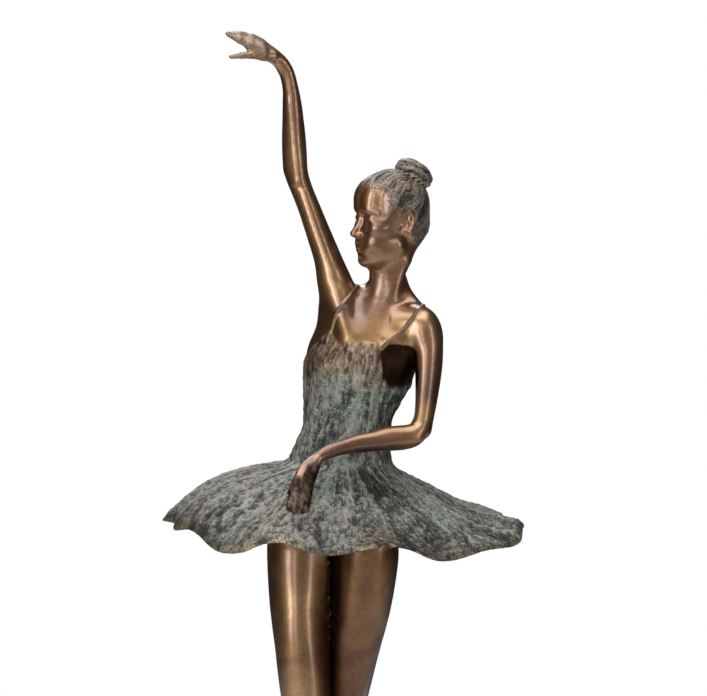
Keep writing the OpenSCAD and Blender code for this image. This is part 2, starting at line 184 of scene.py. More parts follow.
class Shape:
    """Something with a lowest and highest corner and a signed distance."""

    def __init__(self, low, high, distance):
        self.low = np.array(low, float)
        self.high = np.array(high, float)
        self.distance = distance


def ellipsoid(centre, radii, turn=0.0, tilt=0.0):
    """turn is about Z and tilt, which comes first, about Y, both in degrees."""
    c, r = np.array(centre, float), np.array(radii, float)
    a, b = math.radians(turn), math.radians(tilt)
    x_axis = np.array([math.cos(a) * math.cos(b), math.sin(a) * math.cos(b), -math.sin(b)])
    y_axis = np.array([-math.sin(a), math.cos(a), 0])
    axes = np.array([x_axis, y_axis, np.cross(x_axis, y_axis)])

    def distance(x, y, z):
        near = [((x - c[0]) * e[0] + (y - c[1]) * e[1] + (z - c[2]) * e[2]) for e in axes]
        inner = np.sqrt(sum((q / s) ** 2 for q, s in zip(near, r)))
        slope = np.sqrt(sum((q / s ** 2) ** 2 for q, s in zip(near, r)))
        return inner * (inner - 1) / np.maximum(slope, TINY)

    reach = r.max()
    return Shape(c - reach, c + reach, distance)


def rod(a, b, ra, rb):
    """A round bar with round ends, radius ra at a and rb at b."""
    a, b = np.array(a, float), np.array(b, float)
    d = b - a

    def distance(x, y, z):
        t = ((x - a[0]) * d[0] + (y - a[1]) * d[1] + (z - a[2]) * d[2]) / (d @ d)
        t = np.clip(t, 0, 1)
        gap = np.sqrt(
            (x - a[0] - t * d[0]) ** 2 + (y - a[1] - t * d[1]) ** 2 + (z - a[2] - t * d[2]) ** 2
        )
        return gap - ra - t * (rb - ra)

    reach = max(ra, rb)
    return Shape(np.minimum(a, b) - reach, np.maximum(a, b) + reach, distance)


def chain(places, radii):
    """Bars through a line of places."""
    ends = list(zip(places, radii))
    return [rod(a, b, ra, rb) for (a, ra), (b, rb) in zip(ends[:-1], ends[1:])]


RING_COUNT = 64  # points to a loft's ring


class Loft:
    """A tube of elliptical rings through stations of x, y, z, half width, half depth. The half
    widths lie along side, and the rings of a level one are horizontal."""

    def __init__(self, stations, side, level=False, passes=16):
        path = smooth_path(stations, passes)
        centre = path[:, :3]
        along = unit(np.gradient(centre, axis=0))
        if level:
            along[:] = (0, 0, 1)
        side = np.array(side, float)
        u = unit(side - (along @ side)[:, None] * along)
        v = np.cross(along, u)
        w = 2 * np.pi * np.arange(RING_COUNT) / RING_COUNT
        rings = (
            centre[:, None]
            + path[:, 3, None, None] * np.cos(w)[:, None] * u[:, None]
            + path[:, 4, None, None] * np.sin(w)[:, None] * v[:, None]
        )
        self.points = np.vstack([rings.reshape(-1, 3), centre[:1], centre[-1:]]).astype(np.float32)
        self.quads = ring_quads(len(path), RING_COUNT).astype(np.uint32)
        self.triangles = end_fans(len(path), RING_COUNT).astype(np.uint32)


def ring_quads(rings, count, closed=False):
    """Quads between neighbouring rings of count points; closed joins the last ring to the first."""
    i = np.arange(rings if closed else rings - 1)[:, None]
    j = np.arange(count)[None]
    a = i * count + j
    b = i * count + (j + 1) % count
    up = ((i + 1) % rings - i) * count
    return np.stack([a, b, b + up, a + up], -1).reshape(-1, 4)


def end_fans(rings, count):
    """Triangles that close a stack of rings; their two middle points come after the rings' points."""
    j = np.arange(count)
    n = rings * count
    first = np.stack([np.full(count, n), (j + 1) % count, j], -1)
    last = np.stack([np.full(count, n + 1), n - count + j, n - count + (j + 1) % count], -1)
    return np.vstack([first, last])


class Clay:
    """A block of signed distances, negative inside, that shapes are added to and cut from."""

    def __init__(self, low, high, step):
        self.step = step * COARSE
        self.first = np.floor(np.array(low) / self.step).astype(int)
        self.corner = tuple(int(n) for n in self.first)
        last = np.ceil(np.array(high) / self.step).astype(int)
        self.d = np.full(last - self.first + 1, FAR, np.float32)

    def window(self, low, high):
        a = np.floor(low / self.step).astype(int) - self.first
        b = np.ceil(high / self.step).astype(int) - self.first + 1
        a, b = np.clip(a, 0, self.d.shape), np.clip(b, 0, self.d.shape)
        axes = [(np.arange(a[n], b[n]) + self.first[n]) * self.step for n in range(3)]
        where = tuple(slice(*ab) for ab in zip(a, b))
        return where, np.meshgrid(*axes, indexing="ij", sparse=True)

    def add(self, shape, blend, sign=1):
        """Blends a shape in, or cuts it away where sign is -1."""
        margin = blend + 2 * self.step
        where, xyz = self.window(shape.low - margin, shape.high + margin)
        if self.d[where].size:
            self.d[where] = sign * smooth_min(sign * self.d[where], shape.distance(*xyz), blend)

    def add_all(self, shapes, blend):
        for shape in shapes:
            self.add(shape, blend)

    def cut(self, shape, blend):
        self.add(shape, blend, -1)

    def add_loft(self, loft, blend=0.0):
        band = math.ceil(LOFT_REACH / self.step) + 2
        grid = vdb.FloatGrid.createLevelSetFromPolygons(
            loft.points, loft.triangles, loft.quads,
            vdb.createLinearTransform(self.step), float(band), float(band),
        )
        block = np.empty(self.d.shape, np.float32)
        grid.copyToArray(block, ijk=self.corner)
        self.d = smooth_min(self.d, block, blend)

    def places(self):
        """x, y and z of the voxels."""
        axes = [(np.arange(n) + f) * self.step for n, f in zip(self.d.shape, self.first)]
        return np.meshgrid(*axes, indexing="ij", sparse=True)

    def height(self, point, normal):
        """Distance of every voxel from a plane."""
        x, y, z = self.places()
        n = unit(normal)
        above = (x - point[0]) * n[0] + (y - point[1]) * n[1] + (z - point[2]) * n[2]
        return above.astype(np.float32)

    def keep(self, point, normal):
        """Cuts away everything below a plane."""
        self.d = np.maximum(self.d, -self.height(point, normal))

    def blank(self):
        """An empty block on the same voxels."""
        other = copy.copy(self)
        other.d = np.full(self.d.shape, FAR, np.float32)
        return other

    def within(self, region):
        """The part of this clay where region is negative."""
        other = copy.copy(self)
        other.d = np.maximum(self.d, region)
        return other

    def corners(self, points):
        """The voxels round each point, with how much each one counts."""
        at = points / self.step - self.first
        base = np.clip(np.floor(at).astype(int), 1, np.array(self.d.shape) - 3)
        f = at - base
        for corner in range(8):
            o = np.array([corner & 1, corner >> 1 & 1, corner >> 2])
            i, j, k = (base + o).T
            yield i, j, k, np.prod(np.where(o, f, 1 - f), axis=1)

    def value(self, points):
        return sum(weight * self.d[i, j, k] for i, j, k, weight in self.corners(points))

    def slope(self, points):
        """Direction away from the clay at points near its surface."""
        total = np.zeros_like(points)
        for i, j, k, weight in self.corners(points):
            total += weight[:, None] * np.stack([
                self.d[i + 1, j, k] - self.d[i - 1, j, k],
                self.d[i, j + 1, k] - self.d[i, j - 1, k],
                self.d[i, j, k + 1] - self.d[i, j, k - 1],
            ], -1)
        return total / np.maximum(np.linalg.norm(total, axis=1, keepdims=True), TINY)

    def settle(self, points):
        """Points moved to the clay's surface."""
        for _ in range(8):
            points = points - self.value(points)[:, None] * self.slope(points)
        return points

    def soften(self):
        for axis in range(3):
            d = np.moveaxis(self.d, axis, 0)
            d[1:-1] = (d[:-2] + 2 * d[1:-1] + d[2:]) / 4

    def skin(self):
        edge = 3 * self.step
        grid = vdb.FloatGrid(edge)
        grid.copyFromArray(np.clip(self.d, -edge, edge), ijk=self.corner, tolerance=0.0)
        grid.transform = vdb.createLinearTransform(self.step)
        points, triangles, quads = grid.convertToPolygons(0.0, 0.0)
        return Skin(points.astype(float), triangles.astype(int), quads.astype(int))


class Skin:
    """A surface of points in mm, triangles and quads."""

    def __init__(self, points, triangles, quads):
        self.points = points
        self.triangles = triangles
        self.quads = quads

    def normals(self):
        normals = np.zeros_like(self.points)
        for faces, a, b in ((self.triangles, (0, 1), (0, 2)), (self.quads, (0, 2), (1, 3))):
            if not len(faces):
                continue
            p = self.points[faces]
            face = np.cross(p[:, a[1]] - p[:, a[0]], p[:, b[1]] - p[:, b[0]])
            for corner in range(faces.shape[1]):
                for axis in range(3):
                    normals[:, axis] += np.bincount(
                        faces[:, corner], face[:, axis], minlength=len(self.points)
                    )
        return normals / np.maximum(np.linalg.norm(normals, axis=1, keepdims=True), TINY ** 2)

    def raise_by(self, rise):
        """Moves every point out by its rise."""
        self.points = self.points + rise[:, None] * self.normals()


REPLACED = set()  # CAD nodes that a piece stands for


def make_piece(name, skin, node, material, paint=None, normals=None):
    """A mesh object from points in mm. paint holds each attribute's value at every point."""
    mesh = bpy.data.meshes.new(name)
    mesh.from_pydata((skin.points * MM).tolist(), [], skin.quads.tolist() + skin.triangles.tolist())
    mesh.update()
    mesh.polygons.foreach_set("use_smooth", np.ones(len(mesh.polygons), bool))
    for key, values in (paint or {}).items():
        layer = mesh.attributes.new(key, "FLOAT", "POINT")
        layer.data.foreach_set("value", np.asarray(values, np.float32))
    if normals is not None:
        mesh.normals_split_custom_set_from_vertices(normals.tolist())
    mesh.materials.append(material)
    piece = bpy.data.objects.new(name, mesh)
    bpy.context.scene.collection.objects.link(piece)
    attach(piece, "root")
    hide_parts(node)
    REPLACED.add(node)


# ---------------------------------------------------------------- the figure's measures, in mm

CHEST_TURN = 18  # degrees that the chest turns to the dancer's right
HEAD_TURN = 68  # the same for the head
TOE_Z = 38.5
HIP_Z = 306  # where the legs end and the hips begin
WAIST_Z = 349  # where the skirt's upper side meets the torso
TUTU_X = 8.4  # x of the skirt's middle
THIGHS_MEET = 1.2  # x of the plane between the thighs, where they are welded together

CHEST_LEFT = np.array([math.cos(math.radians(CHEST_TURN)), -math.sin(math.radians(CHEST_TURN)), 0])
CHEST_FRONT = np.array([CHEST_LEFT[1], -CHEST_LEFT[0], 0])

# Bodies and limbs are rings of x, y, z, half width and half depth; fingers are x, y, z and radius.
TORSO = [
    [6.5, 0, 349, 29.4, 21.4], [7, 0, 356, 27.6, 20], [8.3, 0, 363, 25.8, 18.8],
    [10, 0, 370, 24.4, 17.8], [11.3, 0.2, 378, 24.8, 18], [13.8, 0.4, 387, 27.6, 19],
    [16.6, 0.6, 397, 30.6, 20.4], [18.5, 1, 409, 31.8, 20.4], [19.8, 1.4, 418, 31, 18.4],
    [22.6, 2, 427, 27, 15.4], [26.4, 3, 435, 20, 12], [29.6, 3.6, 441, 13, 9.6],
]
NECK = [
    [30, 4, 435, 12, 11], [31.6, 3.6, 443, 10.4, 10], [32.3, 3, 450, 9.4, 9.4],
    [32.6, 2.6, 457, 9.1, 9.6], [32.8, 2.2, 464, 9.3, 10.2], [33.2, 2, 472, 10, 11],
]
RAISED_ARM = [
    [9.4, 3.4, 418, 13.6, 12], [7.8, 4.4, 430, 13, 11.6], [6.2, 5.4, 441, 11.2, 10.8],
    [3.4, 6.6, 452, 9.2, 9.6], [-0.6, 8, 465, 7.3, 8.4], [-5.6, 9, 478.5, 6.5, 7.6],
    [-10.4, 10, 491.5, 5.9, 7], [-14.6, 10.9, 502, 5.9, 6.4], [-17.6, 11, 511, 6.5, 6.4],
    [-18.4, 10.2, 522, 6.8, 6.6], [-18.9, 8.6, 534, 6.4, 6], [-19.6, 5.5, 549, 5.2, 4.9],
    [-20.6, 3.6, 558, 4.4, 4.1], [-22.2, 2.6, 564.8, 4.3, 3.8], [-24.4, 1.9, 569.4, 4.3, 3.9],
    [-27, 1, 572.8, 3.9, 4.1],
]
RAISED_PALM = [
    [-30.6, -0.2, 575.6, 3.4, 4.7], [-34.8, -2, 578.2, 3.1, 5.6], [-39.4, -4, 580.9, 2.7, 5.8],
    [-43, -5.2, 583, 2.1, 5],
]
LOWERED_ARM = [
    [38, -4, 427, 11, 10.4], [44, -5.6, 427.6, 11, 10.4], [48.8, -7, 427.2, 10.4, 10.2],
    [53.4, -9, 422.5, 9, 9.6], [55, -12, 412.5, 7.8, 8.8], [54.9, -16, 402.5, 6.8, 8],
    [54, -20.5, 392.5, 5.8, 7], [53, -25, 384, 5, 6.2], [51.6, -28.6, 377, 5, 5.8],
    [48.2, -31.4, 371.6, 6, 5.7], [42, -33.4, 369.4, 6.4, 5.5], [34, -35, 368.4, 6.2, 5.2],
    [25, -37, 367.6, 5.6, 4.7], [16, -39.4, 366.6, 4.9, 4.1], [7, -41.8, 364.6, 4, 3.6],
    [0, -43.2, 362.2, 3.5, 3.3], [-4.4, -44.4, 359.8, 3.2, 3.2],
]
LOWERED_PALM = [
    [-8, -47, 356.2, 3.1, 4.6], [-11.2, -51, 351, 3, 5.8], [-13, -55.4, 345.6, 2.7, 6.2],
    [-13.6, -58.6, 341.8, 2.3, 5.6],
]
RAISED_FINGERS = [
    [[-36, -5.6, 578.6, 2.5], [-42, -7.4, 580.6, 2.2], [-48, -8.8, 583.6, 1.7], [-54, -9.6, 586.4, 1]],
    [[-36.6, -4.4, 580.2, 2.5], [-42.4, -5.8, 582.8, 2.2], [-48.4, -7, 585.4, 1.7],
     [-54.6, -7.8, 587.3, 1]],
    [[-36.8, -3, 581.4, 2.3], [-42, -4, 584, 2], [-47.6, -5, 586.4, 1.6], [-53.4, -5.8, 587.6, 1]],
    [[-36.4, -1.8, 582, 2.1], [-41, -2.4, 584.6, 1.8], [-45.8, -3.2, 586.6, 1.4], [-50.6, -4, 587.5, 1]],
    [[-30, -2.4, 575.2, 2.8], [-35.4, -5.4, 575.2, 2.6], [-42, -8.6, 575.6, 2], [-46.6, -10, 575.3, 1.7],
     [-52.4, -11, 574.6, 1.2]],
]
LOWERED_FINGERS = [
    [[-15.4, -54, 348, 2.3], [-18.2, -58.4, 342.6, 2], [-20.4, -62.4, 336.6, 1.7],
     [-20.2, -65, 331.4, 1.3]],
    [[-13.6, -55, 347, 2.3], [-15.8, -60, 341, 2], [-17.6, -64.6, 334.6, 1.7], [-17.2, -67.6, 329.6, 1.3]],
    [[-11.4, -55.4, 346, 2.2], [-12.8, -60.4, 340, 1.9], [-14.2, -65, 333.8, 1.6],
     [-13.8, -68.2, 328.8, 1.2]],
    [[-9.4, -54.8, 345.6, 2], [-10.2, -59.6, 339.6, 1.7], [-11, -63.8, 334, 1.4],
     [-10.6, -66.8, 329.8, 1.1]],
    [[-9.4, -47, 356.2, 2.4], [-13.4, -50, 352.4, 2.2], [-17, -53.4, 348, 1.8], [-20.4, -57, 342.4, 1.2]],
]
RIGHT_LEG = [
    [-4.2, -8.2, 38.5, 4.2, 4.2], [-4.2, -8.8, 47, 5.4, 4.8], [-4.2, -9, 58, 6.2, 5.6],
    [-4.2, -8.2, 72, 6, 7], [-4.4, -7.4, 84, 5.4, 6.8], [-4.8, -7.4, 95, 5.1, 5.7],
    [-5.4, -7, 112, 6.6, 7.2], [-6.8, -6.8, 135, 9.2, 10], [-7.8, -7.4, 155, 10.2, 11],
    [-8.8, -8.4, 172, 9.8, 10.8], [-9.8, -9, 190, 11, 12], [-11, -8.2, 205, 11.8, 13],
    [-12.4, -6.6, 223.5, 13.3, 14.4], [-14, -4, 250, 15.2, 16.8], [-15.7, -1, 270, 16.4, 18.4],
    [-16, 2, 296, 17.6, 20], [-15.8, 3, 306, 17.8, 20.2],
]
LEFT_LEG = [
    [3.8, 8, 38.5, 4.2, 4.2], [3.8, 8.6, 47, 5.4, 4.8], [3.8, 8.8, 58, 6.2, 5.6],
    [3.6, 8.2, 72, 6, 7], [3.4, 7.6, 84, 5.4, 6.8], [3, 7.2, 95, 5.1, 5.7],
    [2.8, 9.4, 112, 6.4, 7], [2.6, 12.8, 135, 9, 9.8], [3.2, 14.2, 155, 10, 10.8],
    [3.6, 13.4, 172, 9.8, 10.8], [4.8, 13.4, 190, 11, 12], [7, 11.8, 205, 11.8, 13],
    [9.8, 10, 223.5, 13.4, 14.6], [14.4, 7, 250, 15.2, 17.6], [18.2, 2.4, 270, 16.6, 19.2],
    [20.9, -0.4, 296, 18, 18.6], [21, -1, 306, 18, 18.2],
]
HIPS = [
    [3.1, 0, 306, 37, 24.6], [4.4, 0, 317, 37, 25], [6, 0, 328, 34.5, 24],
    [7.6, 0, 338, 30.5, 22.4], [8.4, 0, 346.6, 28.4, 21],
]
RAISED_SIDE = (1, -0.5, 0.2)  # the direction that an arm's half widths are measured in
LOWERED_SIDE = (0.6, 0.1, 1)

HEAD_AT = np.array([33, 1, 460])
FACE_FRONT = np.array([-math.sin(math.radians(HEAD_TURN)), -math.cos(math.radians(HEAD_TURN)), 0])
FACE_LEFT = np.array([-FACE_FRONT[1], FACE_FRONT[0], 0])
BUN_AT = np.array([-11.7, 0, 45.3])
BUN_TILT = 34  # degrees that the bun leans back


def in_head(p):
    """World points in the head's own frame: x forwards, y to the dancer's left, z up from the chin."""
    q = p - HEAD_AT
    return np.stack([q @ FACE_FRONT, q @ FACE_LEFT, q[..., 2]], -1)


def of_head(shape):
    """A shape given in the head's own frame, moved to its place."""
    sides = (shape.low, shape.high)
    corners = np.array([[a[0], b[1]] for a in sides for b in sides])
    world = corners[:, :1] * FACE_FRONT + corners[:, 1:] * FACE_LEFT + HEAD_AT

    def distance(x, y, z):
        dx, dy = x - HEAD_AT[0], y - HEAD_AT[1]
        forward = dx * FACE_FRONT[0] + dy * FACE_FRONT[1]
        left = dx * FACE_LEFT[0] + dy * FACE_LEFT[1]
        return shape.distance(forward, left, z - HEAD_AT[2])

    low = [world[:, 0].min(), world[:, 1].min(), shape.low[2] + HEAD_AT[2]]
    high = [world[:, 0].max(), world[:, 1].max(), shape.high[2] + HEAD_AT[2]]
    return Shape(low, high, distance)


def middle_at(stations, z):
    """x and y of the centre line through the stations, at height z."""
    s = np.array(stations, float)
    return np.interp(z, s[:, 2], s[:, 0]), np.interp(z, s[:, 2], s[:, 1])


def joint(stations, index):
    """The middle and the direction of the flat joint at a station."""
    s = np.array(stations, float)[:, :3]
    along = unit(s[min(index + 1, len(s) - 1)] - s[index - 1])
    return s[index], along


RAISED_SHOULDER = joint(RAISED_ARM, 2)
RAISED_WRIST = joint(RAISED_ARM + RAISED_PALM, len(RAISED_ARM) - 1)
LOWERED_SHOULDER = joint(LOWERED_ARM, 2)
LOWERED_WRIST = joint(LOWERED_ARM + LOWERED_PALM, len(LOWERED_ARM) - 1)
LOWERED_TIPS = np.array([-15.5, -67, 329.5])  # the fingertips of the lowered hand
NECK_JOINT = joint(NECK, 3)
LAP = 0.5  # mm that a casting runs under its neighbour, so that no gap shows
BODY_VOXEL, HEAD_VOXEL, HAND_VOXEL, LEG_VOXEL, HIPS_VOXEL = 0.56, 0.4, 0.34, 0.75, 0.8

# The lowest and highest corner of each block of clay.
BODY_BOX = (-32, -50, 344), (68, 30, 580)
RAISED_HAND_BOX = (-58, -16, 566), (-20, 9, 592)
LOWERED_HAND_BOX = (-25, -73, 325), (2, -36, 368)
HEAD_BOX = (4, -28, 450), (64, 30, 516)
BUN_BOX = (28, -16, 494), (68, 20, 530)
HIPS_BOX = (-40, -32, 300), (50, 32, 350)


# ---------------------------------------------------------------- the body's forms

NOTCH = np.array([29.6, -7, 437])  # the hollow between the collar bones


def on_chest(left, front, z):
    """A point of the torso from its centre line at height z."""
    return np.array([*middle_at(TORSO, z), z]) + left * CHEST_LEFT + front * CHEST_FRONT


def add_torso(clay):
    clay.add_loft(Loft(TORSO, CHEST_LEFT, level=True))
    for side in (-1, 1):
        clay.add(ellipsoid(on_chest(12.6 * side, 12.2, 406), (9.4, 8.2, 9.6), turn=-CHEST_TURN), 7)
        clay.add(ellipsoid(on_chest(14.5 * side, -13.6, 416), (9, 4.6, 13), turn=-CHEST_TURN), 6)
    clay.add(rod(on_chest(0, 12, 400), on_chest(2, 6.5, 430), 5, 4), 8)
    clay.cut(rod(on_chest(0, -21.4, 356), on_chest(0, -20.6, 412), 1.6, 1.4), 7)


def add_neck(clay):
    clay.add_loft(Loft(NECK, CHEST_LEFT), 8)
    clay.add(rod([35, 8, 454], [50, -2, 433], 3, 5.6), 9)
    clay.add(rod([33, 10, 452], [13, 8, 440], 3.6, 5), 9)
    clay.add(rod([30, -1, 431], [22, 3, 438], 6, 6.5), 10)
    clay.add(rod([35, 8, 450], [33, 8, 428], 6.5, 9), 10)
    clay.add(rod(NOTCH + [2, 2.6, -1], [42, -1.6, 463], 1.4, 2.4), 8)
    clay.add(rod(NOTCH + [-2, 3.4, -1], [26.4, 1.4, 462], 1.4, 2.2), 8)
    clay.add(rod(NOTCH + [5, 3.4, -3.2], [49, -6.4, 434.6], 1.3, 1.9), 7)


def add_raised_arm(clay):
    clay.add_loft(Loft(RAISED_ARM + RAISED_PALM, RAISED_SIDE, passes=5))
    clay.add(ellipsoid((3.4, 4.4, 449), (7.4, 8, 14), tilt=-18), 5)
    clay.add(rod((2, 2, 456), (-13, 6.6, 500), 4.4, 3.2), 4)
    clay.add(rod((1, 10.6, 458), (-13.6, 14, 500), 4.6, 3.2), 4)
    clay.add(rod((-15.8, 7.2, 507), (-20, 3.6, 550), 3.6, 2.4), 4)
    clay.add(rod((-20.6, 10.6, 513), (-20.8, 5.4, 551), 3.2, 2.2), 4)
    clay.add(ellipsoid((-14.4, 14.4, 505.6), (2.8, 2.8, 4.4), tilt=-20), 4)
    clay.add(rod([12, -9, 421], [5, -1, 444], 6, 4.6), 8)
    clay.add(rod([-1.5, 9, 402], [0.6, 10, 436], 6, 4.6), 8)


def add_lowered_arm(clay):
    clay.add_loft(Loft(LOWERED_ARM + LOWERED_PALM, LOWERED_SIDE, passes=8))
    clay.add(ellipsoid((52.6, -9, 424), (8.6, 9.6, 13), turn=-20), 7)
    clay.add(rod((54.4, -14, 414), (53, -24.6, 385), 5, 3), 5)
    clay.add(rod((56.4, -8, 412), (54.4, -19.6, 385), 5, 3), 5)
    clay.add(ellipsoid((52.6, -28, 372.4), (3.2, 3.4, 3.6)), 4)
    clay.add(ellipsoid((38, -34.6, 369.6), (13, 4.8, 5.6), tilt=3), 4)
    clay.add(rod([46, -9, 423], [34, -14.5, 419], 5, 5), 8)


# ---------------------------------------------------------------- the head, in its own frame

def skull_forms():
    forms = [
        (ellipsoid((-2.4, 0, 33.6), (20.4, 17.4, 19.2)), 4),
        (ellipsoid((5.2, 0, 23), (12, 13.4, 22)), 7),
        (ellipsoid((6.2, 0, 9.4), (9.6, 9.8, 9)), 6),
        (ellipsoid((13.4, 0, 3.8), (3.9, 4.4, 3.6)), 4),
        (rod((-14, 0, 22), (-6, 0, 8), 9, 8), 9),
        (ellipsoid((11.6, 0, 38), (6.4, 11, 8.4)), 7),
        (ellipsoid((13, 0, 11), (4.4, 6.4, 5.6)), 5),
    ]
    for s in (1, -1):
        forms += [
            (rod((-2, 9.4 * s, 12), (10.6, 4.4 * s, 4), 2.2, 2.6), 8),
            (ellipsoid((10.4, 10.2 * s, 21.4), (4.6, 4, 3.8)), 6),
            (rod((15.4, 3.4 * s, 30.4), (14.2, 8 * s, 31.6), 1.5, 1.5), 4),
            (rod((14.2, 8 * s, 31.6), (10.6, 12.4 * s, 30), 1.5, 1.3), 4),
            (ellipsoid((11.4, 6.8 * s, 13.4), (4.6, 4.6, 5.4)), 6),
        ]
    return forms


def face_cuts():
    cuts = []
    for s in (1, -1):
        cuts.append((ellipsoid((19.4, 7 * s, 27), (4.4, 5, 3)), 4))
        cuts.append((ellipsoid((18.6, 3.9 * s, 25.6), (2.6, 1.6, 3.4)), 2.6))
        cuts.append((ellipsoid((14.6, 16 * s, 33), (6, 3, 7)), 7))
    return cuts


def eyelid(eye, radius, edge, bow, upper):
    """Part of a ball over the eye, down (or up) to a bowed edge."""
    ball = ellipsoid(eye, (radius, radius * 1.08, radius))
    sign = 1 if upper else -1

    def distance(x, y, z):
        across = (y - eye[1]) / (0.86 * radius)
        line = eye[2] + edge + sign * bow * np.maximum(1 - across ** 2, -0.4)
        return np.maximum(ball.distance(x, y, z), sign * (line - z))

    return Shape(ball.low, ball.high, distance)


def eye_forms():
    forms = []
    for s in (1, -1):
        eye = np.array([11.7, 6.9 * s, 26])
        forms += [
            (ellipsoid(eye, (4.1, 4.4, 4.1)), 0.2),
            (eyelid(eye, 4.6, -0.9, 1.3, True), 0.35),
            (eyelid(eye, 4.45, -1.3, 0.7, False), 0.35),
        ]
    return forms


def nose_forms():
    forms = [
        (rod((14.6, 0, 29), (17.2, 0, 23.5), 2, 1.9), 3),
        (rod((17.2, 0, 23.5), (19.9, 0, 18.9), 1.9, 1.9), 2.4),
        (ellipsoid((20.3, 0, 18.3), (2, 2.1, 1.8)), 1.6),
        (rod((19.6, 0, 17.2), (16.6, 0, 15.9), 1.1, 1.3), 1.2),
    ]
    for s in (1, -1):
        forms.append((rod((14.2, 2.3 * s, 22.6), (17, 2 * s, 18.4), 1.3, 1.2), 2.6))
        forms.append((ellipsoid((17.9, 2.6 * s, 17.5), (2.1, 1.3, 1.5)), 1.2))
    return forms


def mouth_forms():
    forms = [(rod((17, 0, 9.2), (17, 0, 9.4), 1.35, 1.35), 1.6)]
    for s in (1, -1):
        forms.append((rod((17.5, 0.9 * s, 12.4), (15.6, 4.9 * s, 11.1), 1.05, 0.45), 1.1))
        forms.append((rod((17.1, 1.4 * s, 9.3), (15.6, 4.6 * s, 10.5), 1.25, 0.45), 1.1))
        forms.append((rod((16.8, 1 * s, 15.6), (17.5, 1.2 * s, 13.2), 0.5, 0.5), 1.2))
    return forms


def mouth_cuts():
    cuts = [(ellipsoid((17.8, 0, 6.3), (1.5, 3.4, 1.1)), 2.4)]
    for s in (1, -1):
        cuts.append((rod((18.9, -0.2 * s, 10.95), (16.4, 4.7 * s, 10.85), 0.45, 0.25), 0.6))
        cuts.append((ellipsoid((19.2, 1.4 * s, 16.1), (1.1, 0.6, 0.7)), 0.5))
    return cuts


EAR_X = -4.6
EAR_Y = 15.4
EAR_Z = 24
EAR_SLANT = 0.16  # how far the ear's middle line goes back for each mm up
EAR_LEAN = 22  # degrees that the ear stands off the head


def on_ear(side, back, out, up):
    """A point of an ear from its middle; its back edge stands off the head."""
    lean = math.radians(EAR_LEAN)
    x = EAR_X - back * math.cos(lean) - EAR_SLANT * up
    return np.array([x, side * (EAR_Y + back * math.sin(lean) + out), EAR_Z + up])


def ear_forms():
    forms = []
    for s in (1, -1):
        rim = [
            on_ear(s, 3.4 * math.cos(a) - 0.3, 0.9, 5.9 * math.sin(a) + 0.6)
            for a in np.radians(np.linspace(165, -60, 15))
        ]
        forms.append((ellipsoid(on_ear(s, 0, 0, 0), (3.7, 1.1, 6.4), turn=-EAR_LEAN * s, tilt=9), 1))
        forms += [(bar, 0.4) for bar in chain(rim, [0.75] * len(rim))]
        forms.append((rod(on_ear(s, 0.6, 1, 4), on_ear(s, 1.4, 1, 0.6), 0.6, 0.7), 0.6))
        forms.append((rod(on_ear(s, 1.4, 1, 0.6), on_ear(s, 0.2, 0.9, -3.2), 0.7, 0.6), 0.6))
        forms.append((ellipsoid(on_ear(s, -0.9, 0.1, -5), (1.6, 1, 1.7)), 1.4))
        forms.append((ellipsoid(on_ear(s, -2.7, 0.7, -0.8), (0.9, 0.9, 1.4)), 0.7))
    return forms


def ear_cuts():
    return [(ellipsoid(on_ear(s, -0.7, 1.5, -0.6), (1.3, 1.2, 2.2)), 0.8) for s in (1, -1)]


def add_head(clay):
    for shape, blend in skull_forms():
        clay.add(of_head(shape), blend)
    for shape, blend in face_cuts():
        clay.cut(of_head(shape), blend)
    for forms in (nose_forms(), eye_forms(), mouth_forms(), ear_forms()):
        for shape, blend in forms:
            clay.add(of_head(shape), blend)
    for shape, blend in mouth_cuts() + ear_cuts():
        clay.cut(of_head(shape), blend)


HAIRLINE = np.array([
    (-30, 9), (-15, 11), (-10, 15), (-7, 21), (-3, 26), (1, 29), (4, 34), (8, 39.5), (12, 43.5),
    (16, 46.5), (30, 52),
])  # x and z, in the head's own frame


def hair_share(q):
    """1 in the hair and 0 on the skin, from points in the head's frame."""
    wave = 1.4 * noise(q, 4, 71) + 0.8 * noise(q, 1.6, 72)
    line = np.interp(q[:, 0], *HAIRLINE.T) + wave
    share = step_up(-3, 5, q[:, 2] - line)
    back = q[:, 0] - EAR_X + EAR_SLANT * (q[:, 2] - EAR_Z)
    ear = np.hypot(back / 5.2, (q[:, 2] - EAR_Z - 0.4) / 7.6)
    return share * step_up(0.9, 1.2, ear)


def bun_axis():
    a = math.radians(BUN_TILT)
    return np.array([-math.sin(a), 0, math.cos(a)])


def around_bun(q):
    """Angle about the bun's axis, distance from the bun's middle and height along the axis."""
    axis = bun_axis()
    across = np.cross(axis, [0, 1, 0])
    r = q - BUN_AT
    angle = np.arctan2(r[:, 1], r @ across)
    return angle, np.linalg.norm(r, axis=1), r @ axis


def combed(q):
    """Height of the strands that are combed up to the bun, about -1 to 1."""
    angle, far, _ = around_bun(q)
    angle = angle + 0.10 * np.sin(far / 4.5 + 2 * noise(q, 9, 5)) + 0.05 * noise(q, 4, 6)
    ring = np.stack([12 * np.cos(angle), 12 * np.sin(angle), far / 7], -1)
    return 0.5 * ridges(ring, 1.5, 2, 11) + 0.5 * ridges(ring * [2, 2, 1], 1.3, 2, 12)


# ---------------------------------------------------------------- the bodice and its relief

def torso_angle(p):
    """Angle round the torso's centre line, 0 at the dancer's left and 90 degrees in front."""
    r = p[:, :2] - np.stack(middle_at(TORSO, p[:, 2]), -1)
    return np.arctan2(r @ CHEST_FRONT[:2], r @ CHEST_LEFT[:2])


